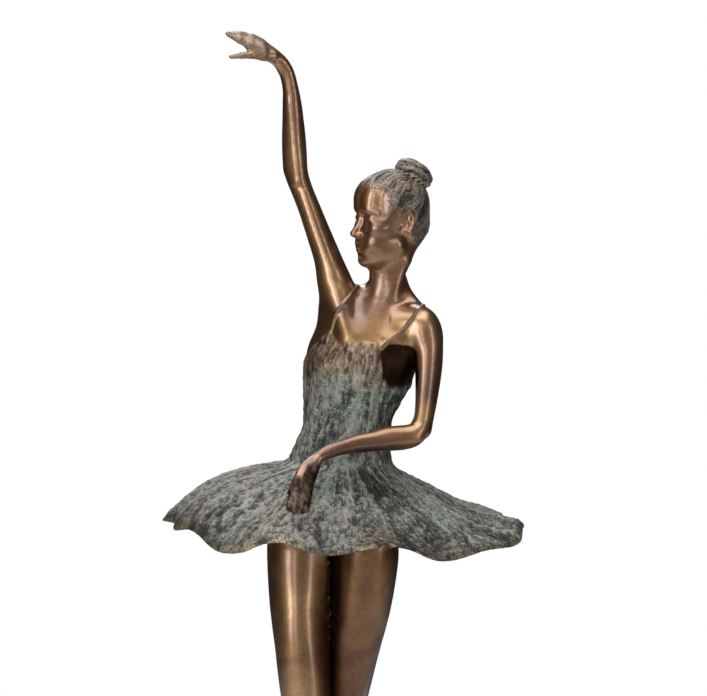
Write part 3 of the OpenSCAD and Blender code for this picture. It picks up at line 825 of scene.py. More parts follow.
# The top edge of the bodice: angle round the torso in degrees, and height.
NECKLINE = np.array([
    (-180, 404), (-150, 399), (-90, 396), (-35, 396), (-8, 398), (14, 396), (34, 396.5), (43, 399),
    (47, 409), (51, 418), (58, 419), (82, 419), (90, 417), (96, 418.5), (112, 417.5), (128, 421),
    (140, 426), (152, 418), (180, 404),
])
STRAPS = [
    [(-6, -12, 423), (-4, -13, 426), (4, -9, 434), (14, -4, 446.4), (16, 8, 448), (14, 17, 436),
     (13, 20, 418), (12, 20, 402)],
    [(29.4, -24, 417.5), (34.6, -22, 422), (42.4, -18, 428.6), (51.6, -10, 435), (50, 2, 437),
     (44, 10, 430), (38, 15, 418), (33, 18, 402)],
]
STRAP_R = 0.75  # the straps' radius


def strap_lines(body):
    """The middle lines of the shoulder straps, lying on the skin."""
    lines = []
    for stations in STRAPS:
        line = smooth_path(stations)
        for _ in range(6):
            line = body.settle(line)
            line[1:-1] = (line[:-2] + 2 * line[1:-1] + line[2:]) / 4
        lines.append(body.settle(line))
    return lines


def gap_to_lines(p, lines):
    nearest = np.full(len(p), FAR)
    for line in lines:
        for a, b in zip(line[:-1], line[1:]):
            d = b - a
            t = np.clip(((p - a) @ d) / (d @ d), 0, 1)
            nearest = np.minimum(nearest, np.linalg.norm(p - a - t[:, None] * d, axis=1))
    return nearest


def bodice_share(p):
    """1 on the bodice, 0 on bare skin, soft at its edge."""
    degrees = np.degrees(torso_angle(p))
    top = np.interp(degrees, *NECKLINE.T) + 1.6 * noise(p, 5, 31)
    return step_up(1.7, -1.9, p[:, 2] - top)


def bodice_relief(p):
    """Flowing upright folds, about -1 to 1."""
    angle = torso_angle(p) + 0.16 * noise(p, 15, 41) + 0.05 * noise(p, 6, 40)
    folds = noise(around(angle, 15, p[:, 2] / 7), 5, 47)
    wide = ridges(around(angle, 25, p[:, 2] / 6) + 0.6 * wobble(p, 7, 42), 3.8, 2, 45)
    narrow = ridges(around(angle, 30, p[:, 2] / 5) + 0.4 * wobble(p, 4, 81), 2, 2, 48)
    return 0.40 * folds + 0.30 * wide + 0.13 * narrow + 0.36 * fractal(p * (1, 1, 0.6), 2.4, 3, 46)


# ---------------------------------------------------------------- materials

class Tree:
    """A node tree that is being built. Most methods return the output of the node they add."""

    def __init__(self, owner):
        owner.use_nodes = True
        self.tree = owner.node_tree
        self.tree.nodes.clear()

    def feed(self, socket, value):
        if isinstance(value, bpy.types.NodeSocket):
            self.tree.links.new(value, socket)
        else:
            socket.default_value = value

    def add(self, kind, inputs=None, **settings):
        """Adds a node and returns it."""
        node = self.tree.nodes.new("ShaderNode" + kind)
        for key, value in settings.items():
            setattr(node, key, value)
        for key, value in (inputs or {}).items():
            self.feed(node.inputs[key], value)
        return node

    def where(self):
        """The place on the object, in metres."""
        return self.add("TexCoord").outputs["Object"]

    def paint(self, name):
        return self.add("Attribute", attribute_name=name).outputs["Fac"]

    def noise(self, where, scale, detail, rough=0.55, distort=0.0):
        return self.add("TexNoise", {
            "Vector": where, "Scale": scale, "Detail": detail, "Roughness": rough, "Distortion": distort,
        }).outputs["Fac"]

    def lines(self, where, scale, detail, rough, distort):
        """0 along thin winding lines, where a noise has its middle value."""
        return self.maths("ABSOLUTE", self.minus(self.noise(where, scale, detail, rough, distort), 0.5))

    def ramp(self, factor, stops):
        """Colour or grey along factor: stops are (position, colour) or (position, number)."""
        node = self.add("ValToRGB", {"Fac": factor})
        ramp = node.color_ramp
        while len(ramp.elements) < len(stops):
            ramp.elements.new(0.5)
        for element, (position, colour) in zip(ramp.elements, stops):
            element.position = position
            colour = (colour,) * 3 if isinstance(colour, (int, float)) else colour
            element.color = (*colour, 1)
        return node.outputs["Color"]

    def mix(self, factor, a, b, blend="MIX"):
        node = self.add("Mix", data_type="RGBA", blend_type=blend)
        sockets = {socket.identifier: socket for socket in node.inputs}
        self.feed(sockets["Factor_Float"], factor)
        for key, colour in (("A_Color", a), ("B_Color", b)):
            self.feed(sockets[key], (*colour, 1) if isinstance(colour, tuple) else colour)
        return next(s for s in node.outputs if s.identifier == "Result_Color")

    def maths(self, operation, a, b=0.0):
        return self.add("Math", {0: a, 1: b}, operation=operation).outputs[0]

    def plus(self, a, b):
        return self.maths("ADD", a, b)

    def minus(self, a, b):
        return self.maths("SUBTRACT", a, b)

    def times(self, a, b):
        return self.maths("MULTIPLY", a, b)

    def vector(self, operation, *inputs):
        node = self.add("VectorMath", dict(enumerate(inputs)), operation=operation)
        return node.outputs["Value" if operation == "LENGTH" else "Vector"]

    def fade(self, value, low, high, to_low=0.0, to_high=1.0):
        """Goes smoothly from to_low, where value is low, to to_high, where it is high."""
        inputs = {"Value": value, "From Min": low, "From Max": high, "To Min": to_low, "To Max": to_high}
        return self.add("MapRange", inputs, interpolation_type="SMOOTHSTEP").outputs["Result"]

    def bump(self, height, strength, depth):
        inputs = {"Height": height, "Strength": strength, "Distance": depth}
        return self.add("Bump", inputs).outputs["Normal"]

    def surface(self, inputs):
        return self.add("BsdfPrincipled", inputs).outputs["BSDF"]

    def finish(self, shader, output="OutputMaterial"):
        self.add(output, {"Surface": shader})


def new_material(name):
    material = bpy.data.materials.new(name)
    return material, Tree(material)


def polished_colour(tree, where, gold):
    """Brown bronze that is rubbed golden in patches; gold makes it more golden, or darker and redder below
    0, which also gives painted shade.
    """
    broad = tree.plus(tree.noise(where, 30, 3, 0.5, 0.5), tree.times(gold, 0.3))
    base = tree.ramp(broad, [
        (0.34, (0.170, 0.070, 0.028)), (0.50, (0.320, 0.147, 0.055)), (0.66, (0.445, 0.252, 0.096)),
    ])
    fine = tree.noise(where, 420, 5, 0.6)
    specks = tree.ramp(fine, [(0.34, 0.6), (0.52, 1.0)])
    return tree.mix(0.5, base, specks, "MULTIPLY"), broad, fine


def patina_base(tree, broad, brown, moss):
    """Grey-green patina or brown; moss is how much verdigris there is."""
    green = tree.ramp(broad, [
        (0.30, (0.150, 0.138, 0.118)), (0.46, (0.180, 0.178, 0.158)),
        (0.62, (0.190, 0.200, 0.176)), (0.72, (0.205, 0.235, 0.205)),
    ])
    umber = tree.ramp(broad, [
        (0.30, (0.120, 0.078, 0.048)), (0.50, (0.150, 0.115, 0.085)), (0.70, (0.185, 0.170, 0.145)),
    ])
    return tree.mix(tree.times(moss, 0.6), tree.mix(brown, green, umber), (0.175, 0.265, 0.205))


def patina_colour(tree, where, drawn, relief, brown, moss):
    """Patina that is dark in the hollows, pale on the slopes and rubbed on the crests, crossed by
    dark cracks and, where it is raised, by pale threads. Gives colour, wear, height and grit."""
    broad = tree.noise(where, 30, 5, 0.6, 0.8)
    fine = tree.noise(drawn, 620, 5, 0.72, 0.6)
    grit = tree.noise(where, 1150, 4, 0.75)
    height = tree.plus(relief, tree.times(tree.minus(fine, 0.5), 1.1))
    height = tree.plus(height, tree.times(tree.minus(grit, 0.5), 1.3))
    hollow = tree.ramp(height, [(0.20, 0.08), (0.38, 0.45), (0.52, 0.90), (0.72, 1.7)])
    shaded = tree.mix(1.0, patina_base(tree, broad, brown, moss), hollow, "MULTIPLY")
    crack = tree.ramp(tree.lines(drawn, 190, 3, 0.6, 0.8), [(0.0, 0.3), (0.03, 1.0)])
    shaded = tree.mix(0.7, shaded, crack, "MULTIPLY")
    thread = tree.ramp(tree.lines(where, 480, 2, 0.5, 1.2), [(0.0, 0.7), (0.05, 0.0)])
    raised = tree.ramp(height, [(0.48, 0.0), (0.62, 1.0)])
    shaded = tree.mix(tree.times(thread, raised), shaded, (0.36, 0.365, 0.33))
    rubbed = tree.ramp(tree.minus(height, tree.times(broad, 0.4)), [(0.50, 0.0), (0.72, 1.0)])
    crest = tree.ramp(fine, [(0.35, (0.17, 0.145, 0.115)), (0.65, (0.31, 0.295, 0.255))])
    return tree.mix(tree.times(rubbed, 0.5), shaded, crest), rubbed, height, grit


def drawn_down(tree, where):
    """Coordinates in which noise is drawn out down the bodice."""
    return tree.vector("MULTIPLY", where, (1, 1, 0.55))


def drawn_outwards(tree, where):
    """Coordinates in which noise is drawn out from the waist to the rim of the skirt."""
    flat = tree.vector("SUBTRACT", where, (TUTU_X * MM, 0, 0))
    flat = tree.vector("MULTIPLY", flat, (1, 1, 0))
    drum = tree.vector("MULTIPLY", tree.vector("NORMALIZE", flat), (0.07, 0.07, 0.07))
    away = tree.add("CombineXYZ", {"Z": tree.times(tree.vector("LENGTH", flat), 0.5)}).outputs[0]
    return tree.vector("ADD", drum, away)


def bronze_material(name, skirt=False):
    """Bronze that is polished where the attribute patina is 0 and patinated where it is 1."""
    material, tree = new_material(name)
    where = tree.where()
    drawn = drawn_outwards(tree, where) if skirt else drawn_down(tree, where)
    patina = tree.paint("patina")
    relief = tree.paint("relief")
    skin, broad, fine = polished_colour(tree, where, tree.paint("gold"))
    # worn darkens the polished skin where relief is low: in the relief's hollows, and where shade is
    # painted under the lowered arm, on the hanging hand and on the thighs.
    worn = tree.ramp(relief, [(0.12, 0.12), (0.40, 0.85), (0.50, 1.0)])
    skin = tree.mix(1.0, skin, worn, "MULTIPLY")
    rough, rubbed, grain, grit = patina_colour(
        tree, where, drawn, relief, tree.paint("brown"), tree.paint("moss")
    )
    colour = tree.mix(patina, skin, rough)
    if skirt:
        spots = tree.ramp(grit, [(0.44, 0.12), (0.56, 1.0)])
        colour = tree.mix(tree.times(tree.paint("hem"), spots), colour, (0.56, 0.46, 0.24))
    skin_rough = tree.ramp(broad, [(0.3, 0.44), (0.7, 0.36)])
    height = tree.mix(patina, tree.times(fine, 0.10), grain)
    tree.finish(tree.surface({
        "Base Color": colour,
        "Metallic": tree.mix(patina, (0.95, 0.95, 0.95), tree.plus(tree.times(rubbed, 0.35), 0.22)),
        "Roughness": tree.mix(patina, skin_rough, tree.ramp(grain, [(0.3, 0.68), (0.7, 0.50)])),
        "Normal": tree.bump(height, 0.6, 0.0006),
        "Coat Weight": tree.mix(patina, tree.times(worn, worn), (0.06, 0.06, 0.06)),
        "Coat Roughness": 0.23,
        "Coat IOR": 1.85,
    }))
    return material


def plain_metal(name, dark, light, roughness):
    """Machined rod or plated steel, with a fine grain."""
    material, tree = new_material(name)
    where = tree.where()
    grain = tree.noise(where, 900, 3, 0.6)
    tree.finish(tree.surface({
        "Base Color": tree.ramp(tree.noise(where, 160, 3), [(0.35, dark), (0.65, light)]),
        "Metallic": 1.0,
        "Roughness": tree.ramp(grain, [(0.3, roughness), (0.7, roughness + 0.12)]),
        "Normal": tree.bump(grain, 0.2, 0.0001),
    }))
    return material


def marble_material():
    """Polished black marble with pale veins and finer, fainter ones."""
    material, tree = new_material("black_marble")
    where = tree.where()
    bend = tree.noise(where, 16, 5, 0.6, 1.6)
    vein = tree.ramp(tree.lines(where, 16, 5, 0.6, 1.6), [
        (0.0, (0.42, 0.41, 0.38)), (0.012, (0.10, 0.10, 0.10)), (0.05, (0.016, 0.016, 0.017)),
    ])
    fleck = tree.ramp(tree.lines(where, 55, 4, 0.55, 2.2), [(0.0, (0.16, 0.16, 0.15)), (0.008, 0.0)])
    cloud = tree.ramp(tree.noise(where, 30, 4), [(0.4, 0.6), (0.7, 1.6)])
    tree.finish(tree.surface({
        "Base Color": tree.mix(1.0, tree.mix(0.45, vein, fleck, "ADD"), cloud, "MULTIPLY"),
        "Roughness": tree.ramp(bend, [(0.3, 0.09), (0.7, 0.16)]),
        "Coat Weight": 0.3,
        "Coat Roughness": 0.05,
    }))
    return material


def felt_material():
    material, tree = new_material("green_felt")
    fibre = tree.noise(tree.where(), 1500, 6, 0.7, 1.0)
    tree.finish(tree.surface({
        "Base Color": tree.ramp(fibre, [(0.3, (0.012, 0.045, 0.022)), (0.7, (0.035, 0.11, 0.055))]),
        "Roughness": 0.95,
        "Sheen Weight": 0.4,
        "Normal": tree.bump(fibre, 0.8, 0.0004),
    }))
    return material


BRONZE = bronze_material("bronze")
HEMMED_BRONZE = bronze_material("hemmed_bronze", skirt=True)
ROD_BRONZE = plain_metal("rod_bronze", (0.42, 0.25, 0.11), (0.56, 0.36, 0.17), 0.3)
STEEL = plain_metal("plated_steel", (0.45, 0.46, 0.48), (0.66, 0.67, 0.69), 0.28)
MARBLE = marble_material()
FELT = felt_material()


# ---------------------------------------------------------------- pieces of the figure

JOINT_R = 22  # mm from a joint's middle, beyond which it isn't smoothed
JOINT_REACH = 1.6  # mm, how far from a joint's plane its shading is smoothed
HIP_REACH = 1.8  # the same at the hips


def near_joints(p, joints):
    """1 on the joints' planes and 0 farther than JOINT_REACH from them."""
    share = np.zeros(len(p))
    for point, along in joints:
        away = np.abs((p - point) @ unit(along))
        beside = np.linalg.norm(p - point, axis=1)
        share = np.maximum(share, step_up(JOINT_REACH, JOINT_REACH / 2, away) * (beside < JOINT_R))
    return share


def cast(node, clay, whole, joints, dress):
    """Makes the casting of a CAD node. whole is the same form before it was cut at its joints, which
    gives the shading there, so that a joint doesn't show. dress gives relief in mm and paint."""
    skin = clay.skin()
    rise, paint = dress(skin.points)
    at_joint = near_joints(skin.points, joints)
    skin.raise_by(rise * (1 - at_joint))
    shading = skin.normals()
    shading += at_joint[:, None] * (whole.slope(skin.points) - shading)
    make_piece(node + "_casting", skin, node, BRONZE, paint, unit(shading))


def bare(points):
    """Polished skin, with the faint unevenness of hand chasing."""
    zero = np.zeros(len(points))
    return 0.05 * noise(points, 7, 3), {"patina": zero, "relief": zero + 0.5}


UNDER_ARM = np.array([37.6, -12, 405])  # the middle of the hollow under the lowered arm, where shade is painted
UNDER_ARM_HALF = (11.4, 40, 12.8)  # half its width, depth and height


def underarm_shade(p):
    """1 where shade is painted in the hollow between the chest and the lowered arm, and 0 outside it."""
    q = np.abs((p - UNDER_ARM) / UNDER_ARM_HALF) + 0.08 * noise(p, 6, 9)[:, None]
    return step_up(1.25, 0.8, (q ** 4).sum(1))


def dress_lowered_arm(points):
    rise, paint = bare(points)
    shoulder = step_up(405, 425, points[:, 2])
    forearm = step_up(382, 374, points[:, 2])
    # Painted shade in the hollow under the arm, given as low relief and gold.
    dark = underarm_shade(points)
    relief = 0.5 - 0.4 * dark - 0.09 * forearm
    return rise, paint | {"relief": relief, "gold": 0.5 * shoulder - 0.3 * forearm - dark}


def dress_bodice(points, straps):
    share = bodice_share(points)
    relief = bodice_relief(points)
    strap = step_up(1.1, 0.7, gap_to_lines(points, straps))
    high = step_up(394, 414, points[:, 2] + 7 * noise(points, 9, 8))
    # Painted shade in the hollow under the lowered arm, off the bodice and straps, given as low relief and
    # gold.
    dark = underarm_shade(points) * (1 - share) * (1 - strap)
    chest = step_up(438, 426, points[:, 2]) * (1 - share) * (1 - dark)
    below = np.linalg.norm((points - UNDER_ARM + (2, 0, 15)) / (11, 16, 5), axis=1)
    moss = np.maximum(step_up(1.3, 0.7, below), 1.2 * noise(points * (1, 1, 0.4), 7, 12))
    paint = {
        "patina": np.maximum(share * (1 - 0.4 * high), 0.5 * strap),
        "relief": 0.5 + 0.5 * relief * share - 0.4 * dark - 0.17 * chest - 0.1 * high * share,
        "brown": np.maximum(0.85 * high, 0.15 + 0.3 * noise(points, 18, 10)),
        "moss": np.clip(moss, 0, 1) * share * (1 - high),
        "gold": 0.3 * chest - dark,
    }
    return share * (0.6 + 0.95 * relief) * (1 - strap), paint


LIMB_MARGIN = 1.5  # mm that a limb's region is larger than the limb
SHOULDER_BALL = 30  # mm, a ball about the shoulder outside which everything belongs to the limb


def limb_region(body, limb, shoulder):
    """Negative inside a limb, but for the stub of it that belongs to the torso."""
    point, along = shoulder
    x, y, z = body.places()
    far = np.sqrt((x - point[0]) ** 2 + (y - point[1]) ** 2 + (z - point[2]) ** 2)
    beyond = np.minimum(-body.height(point, along), SHOULDER_BALL - far.astype(np.float32))
    return np.maximum(limb.d - LIMB_MARGIN, beyond)


def cast_arm(node, body, region, shoulder, wrist, dress):
    arm = body.within(region)
    arm.keep(wrist[0] + LAP * wrist[1], -wrist[1])
    cast(node, arm, body, [shoulder, wrist], dress)


def make_upper_body():
    """The torso and both arms are sculpted as one form and then cut at the shoulders and wrists."""
    body = Clay(*BODY_BOX, BODY_VOXEL)
    add_torso(body)
    add_neck(body)
    raised = body.blank()
    add_raised_arm(raised)
    lowered = body.blank()
    add_lowered_arm(lowered)
    body.d = smooth_min(smooth_min(body.d, raised.d, 8), lowered.d, 6)
    body.soften()
    straps = strap_lines(body)
    for line in straps:
        body.add_all(chain(line, [STRAP_R] * len(line)), 0.5)
    raised_part = limb_region(body, raised, RAISED_SHOULDER)
    lowered_part = limb_region(body, lowered, LOWERED_SHOULDER)

    rest = body.within(np.maximum(-raised_part - LAP, -lowered_part - LAP))
    rest.keep((0, 0, WAIST_Z), (0, 0, 1))
    rest.keep(NECK_JOINT[0] + LAP * NECK_JOINT[1], -NECK_JOINT[1])
    joints = [RAISED_SHOULDER, LOWERED_SHOULDER, NECK_JOINT, ((8, 0, WAIST_Z), (0, 0, 1))]
    cast("torso", rest, body, joints, lambda p: dress_bodice(p, straps))
    cast_arm("raised_arm", body, raised_part, RAISED_SHOULDER, RAISED_WRIST, bare)
    cast_arm("lowered_arm", body, lowered_part, LOWERED_SHOULDER, LOWERED_WRIST, dress_lowered_arm)


def make_hand(node, stations, side, fingers, wrist, box, gap_fill, dress):
    """The last of the fingers is the thumb. gap_fill is how far the metal runs up between them."""
    clay = Clay(*box, HAND_VOXEL)
    clay.add_loft(Loft(stations, side, passes=8))
    spread = clay.blank()
    for finger in fingers:
        one = clay.blank()
        one.add_all(chain([p[:3] for p in finger], [p[3] for p in finger]), 1.5)
        spread.d = smooth_min(spread.d, one.d, gap_fill)
    clay.d = smooth_min(clay.d, spread.d, 3)
    root, knuckle = np.array(fingers[0][:2])
    web = (np.array(fingers[-1][1]) + root) / 2
    clay.add(rod(web[:3], web[:3] + 0.55 * (knuckle - root)[:3], web[3], 0.8 * web[3]), 3)
    clay.soften()
    hand = clay.within(-clay.height(*wrist))
    cast(node, hand, clay, [wrist], dress)


def dress_lowered_hand(points):
    """Painted shade on the part of the hand that hangs in front of the skirt, given as darker, browner
    patina with low relief and gold; the thumb's side is left polished.
    """
    rise, paint = bare(points)
    place = points - LOWERED_WRIST[0]
    down = place @ unit(LOWERED_TIPS - LOWERED_WRIST[0])
    beside = place @ unit((-0.82, -0.24, 0.52))
    dark = step_up(1, 9, down) * np.maximum(step_up(6.4, 3.8, beside), step_up(14, 20, down))
    streak = fractal(points * (1, 1, 0.6), 2.6, 3, 9)
    # Painted shade where dark is 1: darker, browner patina, low relief and gold.
    dull = {
        "relief": 0.5 - (0.27 - 0.25 * streak) * dark,
        "patina": (0.42 + 0.3 * streak) * dark,
        "brown": 0.8 * dark,
        "gold": -0.5 * dark,
    }
    return rise, paint | dull


def dress_raised_hand(points):
    """Duller and greyer than the arm, but for the wrist."""
    rise, paint = bare(points)
    streak = fractal(points, 5, 2, 9)
    share = step_up(-1, 10, (points - RAISED_WRIST[0]) @ unit(RAISED_WRIST[1]))
    dull = {
        "relief": 0.5 + (0.08 + 0.1 * streak) * share,
        "patina": (0.5 + 0.2 * streak) * share,
        "brown": 0.55 * share,
    }
    return rise, paint | dull


def make_hands():
    make_hand(
        "raised_hand", RAISED_ARM + RAISED_PALM, RAISED_SIDE, RAISED_FINGERS, RAISED_WRIST,
        RAISED_HAND_BOX, 2.6, dress_raised_hand,
    )
    make_hand(
        "lowered_hand", LOWERED_ARM + LOWERED_PALM, LOWERED_SIDE, LOWERED_FINGERS, LOWERED_WRIST,
        LOWERED_HAND_BOX, 2.8, dress_lowered_hand,
    )


def dress_head(points):
    q = in_head(points)
    share = hair_share(q)
    strands = combed(q)
    patch = step_up(-0.6, 0.5, noise(q, 9, 73))
    mottle = step_up(0.25, 0.75, share + 0.4 * fractal(q, 1.8, 2, 74) * step_up(0, 0.3, share))
    paint = {
        "patina": mottle * (0.8 + 0.15 * patch),
        "relief": 0.46 + 0.42 * strands * share,
        "brown": 0.8 - 0.45 * patch,
    }
    return share * (0.5 + 0.42 * strands), paint


def make_head():
    whole = Clay(*HEAD_BOX, HEAD_VOXEL)
    add_neck(whole)
    whole.soften()
    add_head(whole)
    head = whole.within(-whole.height(*NECK_JOINT))
    cast("head", head, whole, [NECK_JOINT], dress_head)


def make_bun():
    """A coil of hair, wider at its top, with a twisted band at its foot."""
    clay = Clay(*BUN_BOX, HAND_VOXEL)
    for up, r, half, blend in ((6.6, 11, 6, 0), (8.4, 9.4, 4.4, 3), (4, 9.2, 5.4, 4)):
        roll = ellipsoid(BUN_AT + up * bun_axis(), (r, r, half), tilt=-BUN_TILT)
        clay.add(of_head(roll), blend)
    clay.soften()
    skin = clay.skin()
    q = in_head(skin.points)
    angle, _, height = around_bun(q)
    coil = np.sin(2 * angle + 1.5 * height + 1.6 * noise(q, 6, 22))
    turned = angle + height / 9
    fine = ridges(np.stack([9 * np.cos(turned), 9 * np.sin(turned), 1.5 * height], -1), 2, 2, 23)
    band = step_up(3.6, 2.4, height)
    relief = (1 - band) * (0.5 * coil + 0.5 * fine) + band * np.sin(18 * angle + 1.6 * height)
    skin.raise_by(0.4 * relief + 0.4 * band)
    paint = {
        "patina": np.full(len(q), 0.85),
        "relief": 0.5 + 0.45 * relief,
        "brown": 0.6 + 0.4 * noise(q, 7, 24),
    }
    make_piece("bun_casting", skin, "hair_bun", BRONZE, paint)


# ---------------------------------------------------------------- tutu

HUB_R = 27  # where the skirt leaves the waist
RIM_R = 99
RIM_DROP = 32  # how far the rim hangs below the waist
RIPPLE_H = 6  # from the top to the bottom of an even ripple of the rim
RIPPLES = 10
FRONT_LOBE = math.radians(265)  # direction of the ripple in front
TUTU_T = 2.4  # the casting's thickness
TIP_W = 182  # direction of the beak in the rim, in degrees
TIP_L = 9  # how far the beak stands out
BITE = 5.6  # how far the rim draws back beside the beak


def tutu_drop(u, w):
    """How far the skirt falls from the waist; it is straight in front and domed elsewhere."""
    front = np.maximum(0, -np.sin(w)) ** 2
    lip = 0.14 - 0.11 * hump(w, TIP_W, 13)
    dome = 0.86 * u ** 1.45 + lip * u ** 12
    return RIM_DROP * (1.08 * u * front + dome * (1 - front))


# Departures of the rim from an even ripple: angle and width in degrees, and depth in ripples.
RIM_WAVES = [
    (319, 12, 1.5), (291, 7, -0.9), (264, 25, -1.6), (188, 14, -1.7), (238, 7, 0.9), (216, 9, -0.5),
]


def ripple(w):
    """1 at the bottom of a lobe of the rim and -1 between lobes."""
    total = np.cos(RIPPLES * (w - FRONT_LOBE))
    for centre, width, depth in RIM_WAVES:
        total = total + depth * hump(w, centre, width)
    return total


def tutu_z(u, w):
    """Height of the skirt's upper side; u is 0 at the hub and 1 at the rim."""
    slope = (0.235 + 0.035 * np.cos(w)) * np.cos(w) * np.sqrt(u) * (1 - 0.95 * u * u)
    tilt = slope * (HUB_R + (RIM_R - HUB_R) * u)
    fold = RIPPLE_H / 2 * u ** 2.5 * ripple(w) - 1.2 * u * u * np.cos(3 * w + math.radians(40))
    return WAIST_Z - tutu_drop(u, w) - tilt - fold - 4.5 * u ** 8 * hump(w, TIP_W, 8)


def tutu_reach(u, w):
    """The skirt's radius, with the beak of its rim and a longer lobe on the dancer's left."""
    beak = TIP_L * u ** 6 * hump(w, TIP_W, 4) - BITE * u ** 4 * hump(w, TIP_W, 15)
    left_lobe = 2 * u ** 8 * np.maximum(np.cos(w + math.radians(10)), 0) ** 12
    return HUB_R + (RIM_R - HUB_R) * u + 1.5 * u * ripple(w) + left_lobe + beak


def tutu_relief(u, w):
    """Radial crumples that fan out from the waist, about -1 to 1."""
    r = tutu_reach(u, w)
    flat = np.stack([r * np.cos(w), r * np.sin(w), 0 * r], -1)
    bend = w + 0.10 * noise(flat, 26, 50) + 0.05 * noise(flat, 9, 49)
    folds = noise(around(bend, 26, r / 30), 5, 59)
    wide = ridges(around(bend, 44, r / 9) + 0.5 * wobble(flat, 6, 56), 5, 2, 51)
    narrow = ridges(around(bend, 84, r / 4) + 0.3 * wobble(flat, 5, 63), 3.4, 2, 52)
    cracks = np.minimum(0, ridges(around(bend, 66, r / 6) + 0.6 * wobble(flat, 5, 66), 6, 1, 69) + 0.7)
    grain = fractal(flat, 2, 3, 53)
    return 0.20 * folds + 0.28 * wide + 0.24 * narrow + 0.34 * grain + 0.5 * cracks


TUTU_COUNT = 720  # points round the skirt
UPPER_ROWS = 104  # rings on its upper side and on its underside
UNDER_ROWS = 30
HUB_HOLE_R = 15
BROWN_PATCH = 283  # where the brown patch and the two bright stretches of hem are, in degrees
HEM_SPOTS = ((246, 8), (287, 13))


def make_tutu():
    w = 2 * np.pi * np.arange(TUTU_COUNT) / TUTU_COUNT
    upper = tutu_rings(w, np.linspace(-0.12, 1, UPPER_ROWS))
    lower = tutu_rings(w, np.linspace(1, 0, UNDER_ROWS), under=True)
    rings = np.concatenate([
        hub_ring(w, WAIST_Z)[None], upper[0], lower[0], hub_ring(w, WAIST_Z - TUTU_T)[None],
    ])
    points = rings.reshape(-1, 3) + [TUTU_X, 0, 0]
    quads = ring_quads(len(rings), TUTU_COUNT, closed=True)[:, ::-1]
    hub = np.zeros((1, TUTU_COUNT))
    relief = np.concatenate([hub + 0.5, upper[1], lower[1], hub + 0.5]).ravel()
    hem = np.concatenate([hub, upper[2], lower[2], hub]).ravel()
    skin = Skin(points, np.zeros((0, 3), int), quads)
    paint = tutu_paint(points, relief, hem)
    make_piece("tutu_casting", skin, "tutu", HEMMED_BRONZE, paint)


def tutu_paint(points, relief, hem):
    w = np.mod(np.arctan2(points[:, 1], points[:, 0] - TUTU_X), 2 * np.pi)
    r = np.hypot(points[:, 0] - TUTU_X, points[:, 1])
    brown = 0.12 + 0.5 * noise(around(w, 40, r / 2), 12, 54) + 0.3 * noise(points, 6, 60)
    brown += hump(w, BROWN_PATCH, 9) * step_up(64, 74, r) + 0.35 * step_up(70, 98, r)
    moss = 0.7 * noise(around(w, 44, r / 2), 10, 58) + 0.4 * noise(points, 5, 62)
    flecks = step_up(-0.3, 0.25, noise(points, 5, 57) + 0.6 * noise(points, 1.8, 61))
    bright = 0.25 + sum(hump(w, centre, width) for centre, width in HEM_SPOTS)
    return {
        "patina": np.ones(len(points)),
        "relief": relief - 0.22 * hem,
        "hem": hem * flecks * np.clip(bright, 0, 1),
        "brown": np.clip(brown, 0, 1),
        "moss": np.clip(moss, 0, 0.7),
    }


def hub_ring(w, z):
    return np.stack([HUB_HOLE_R * np.cos(w), HUB_HOLE_R * np.sin(w), np.full(len(w), float(z))], -1)


WAIST_R = 25  # mean radius of the waist


def waist_fillet(x, y):
    """Height of the fillet where the skirt meets the foot of the bodice."""
    foot_x, foot_y, _, half_width, half_depth = TORSO[0]
    r = np.stack([x + TUTU_X - foot_x, y - foot_y], -1)
    left = (r @ CHEST_LEFT[:2]) / half_width
    front = (r @ CHEST_FRONT[:2]) / half_depth
    gap = (np.hypot(left, front) - 1) * WAIST_R
    return 3.4 * np.exp(-np.maximum(gap, 0) / 3.2) * step_up(-1.6, -0.4, gap)


def tutu_rings(w, shares, under=False):
    """Rings of the skirt's upper skin, or its underside, with their relief and hem."""
    rings, reliefs, hems = [], [], []
    for u in shares:
        share = np.full(len(w), u)
        relief = tutu_relief(share, w)
        rough = (1 + 0.7 * u) * (1 - 0.6 * step_up(0.94, 1, u))
        edge = (0.8 - 0.5 * np.cos(w) ** 2) * noise(around(w, 30, 0 * w), 2.4, 55) * u ** 8
        r = np.maximum(tutu_reach(share, w) + edge, HUB_HOLE_R)
        x, y = r * np.cos(w), r * np.sin(w)
        middle = tutu_z(np.clip(share, 0, 1), w) - TUTU_T / 2
        half = TUTU_T * (0.5 - 0.42 * step_up(0.965, 1.0, u))
        off_hub = step_up(0.05, 0.12, u)
        if under:
            z = middle - half - 0.55 * off_hub * rough * relief
        else:
            fillet = waist_fillet(x, y)
            off_hub = np.minimum(step_up(0.3, 1.2, fillet) + off_hub, 1)
            z = middle + half + fillet + off_hub * rough * relief
        rings.append(np.stack([x, y, z], -1))
        reliefs.append(0.5 + 0.5 * relief)
        hems.append(step_up(0.94, 0.98, share + 0.02 * relief))
    return np.array(rings), np.array(reliefs), np.array(hems)


# ---------------------------------------------------------------- hips and legs

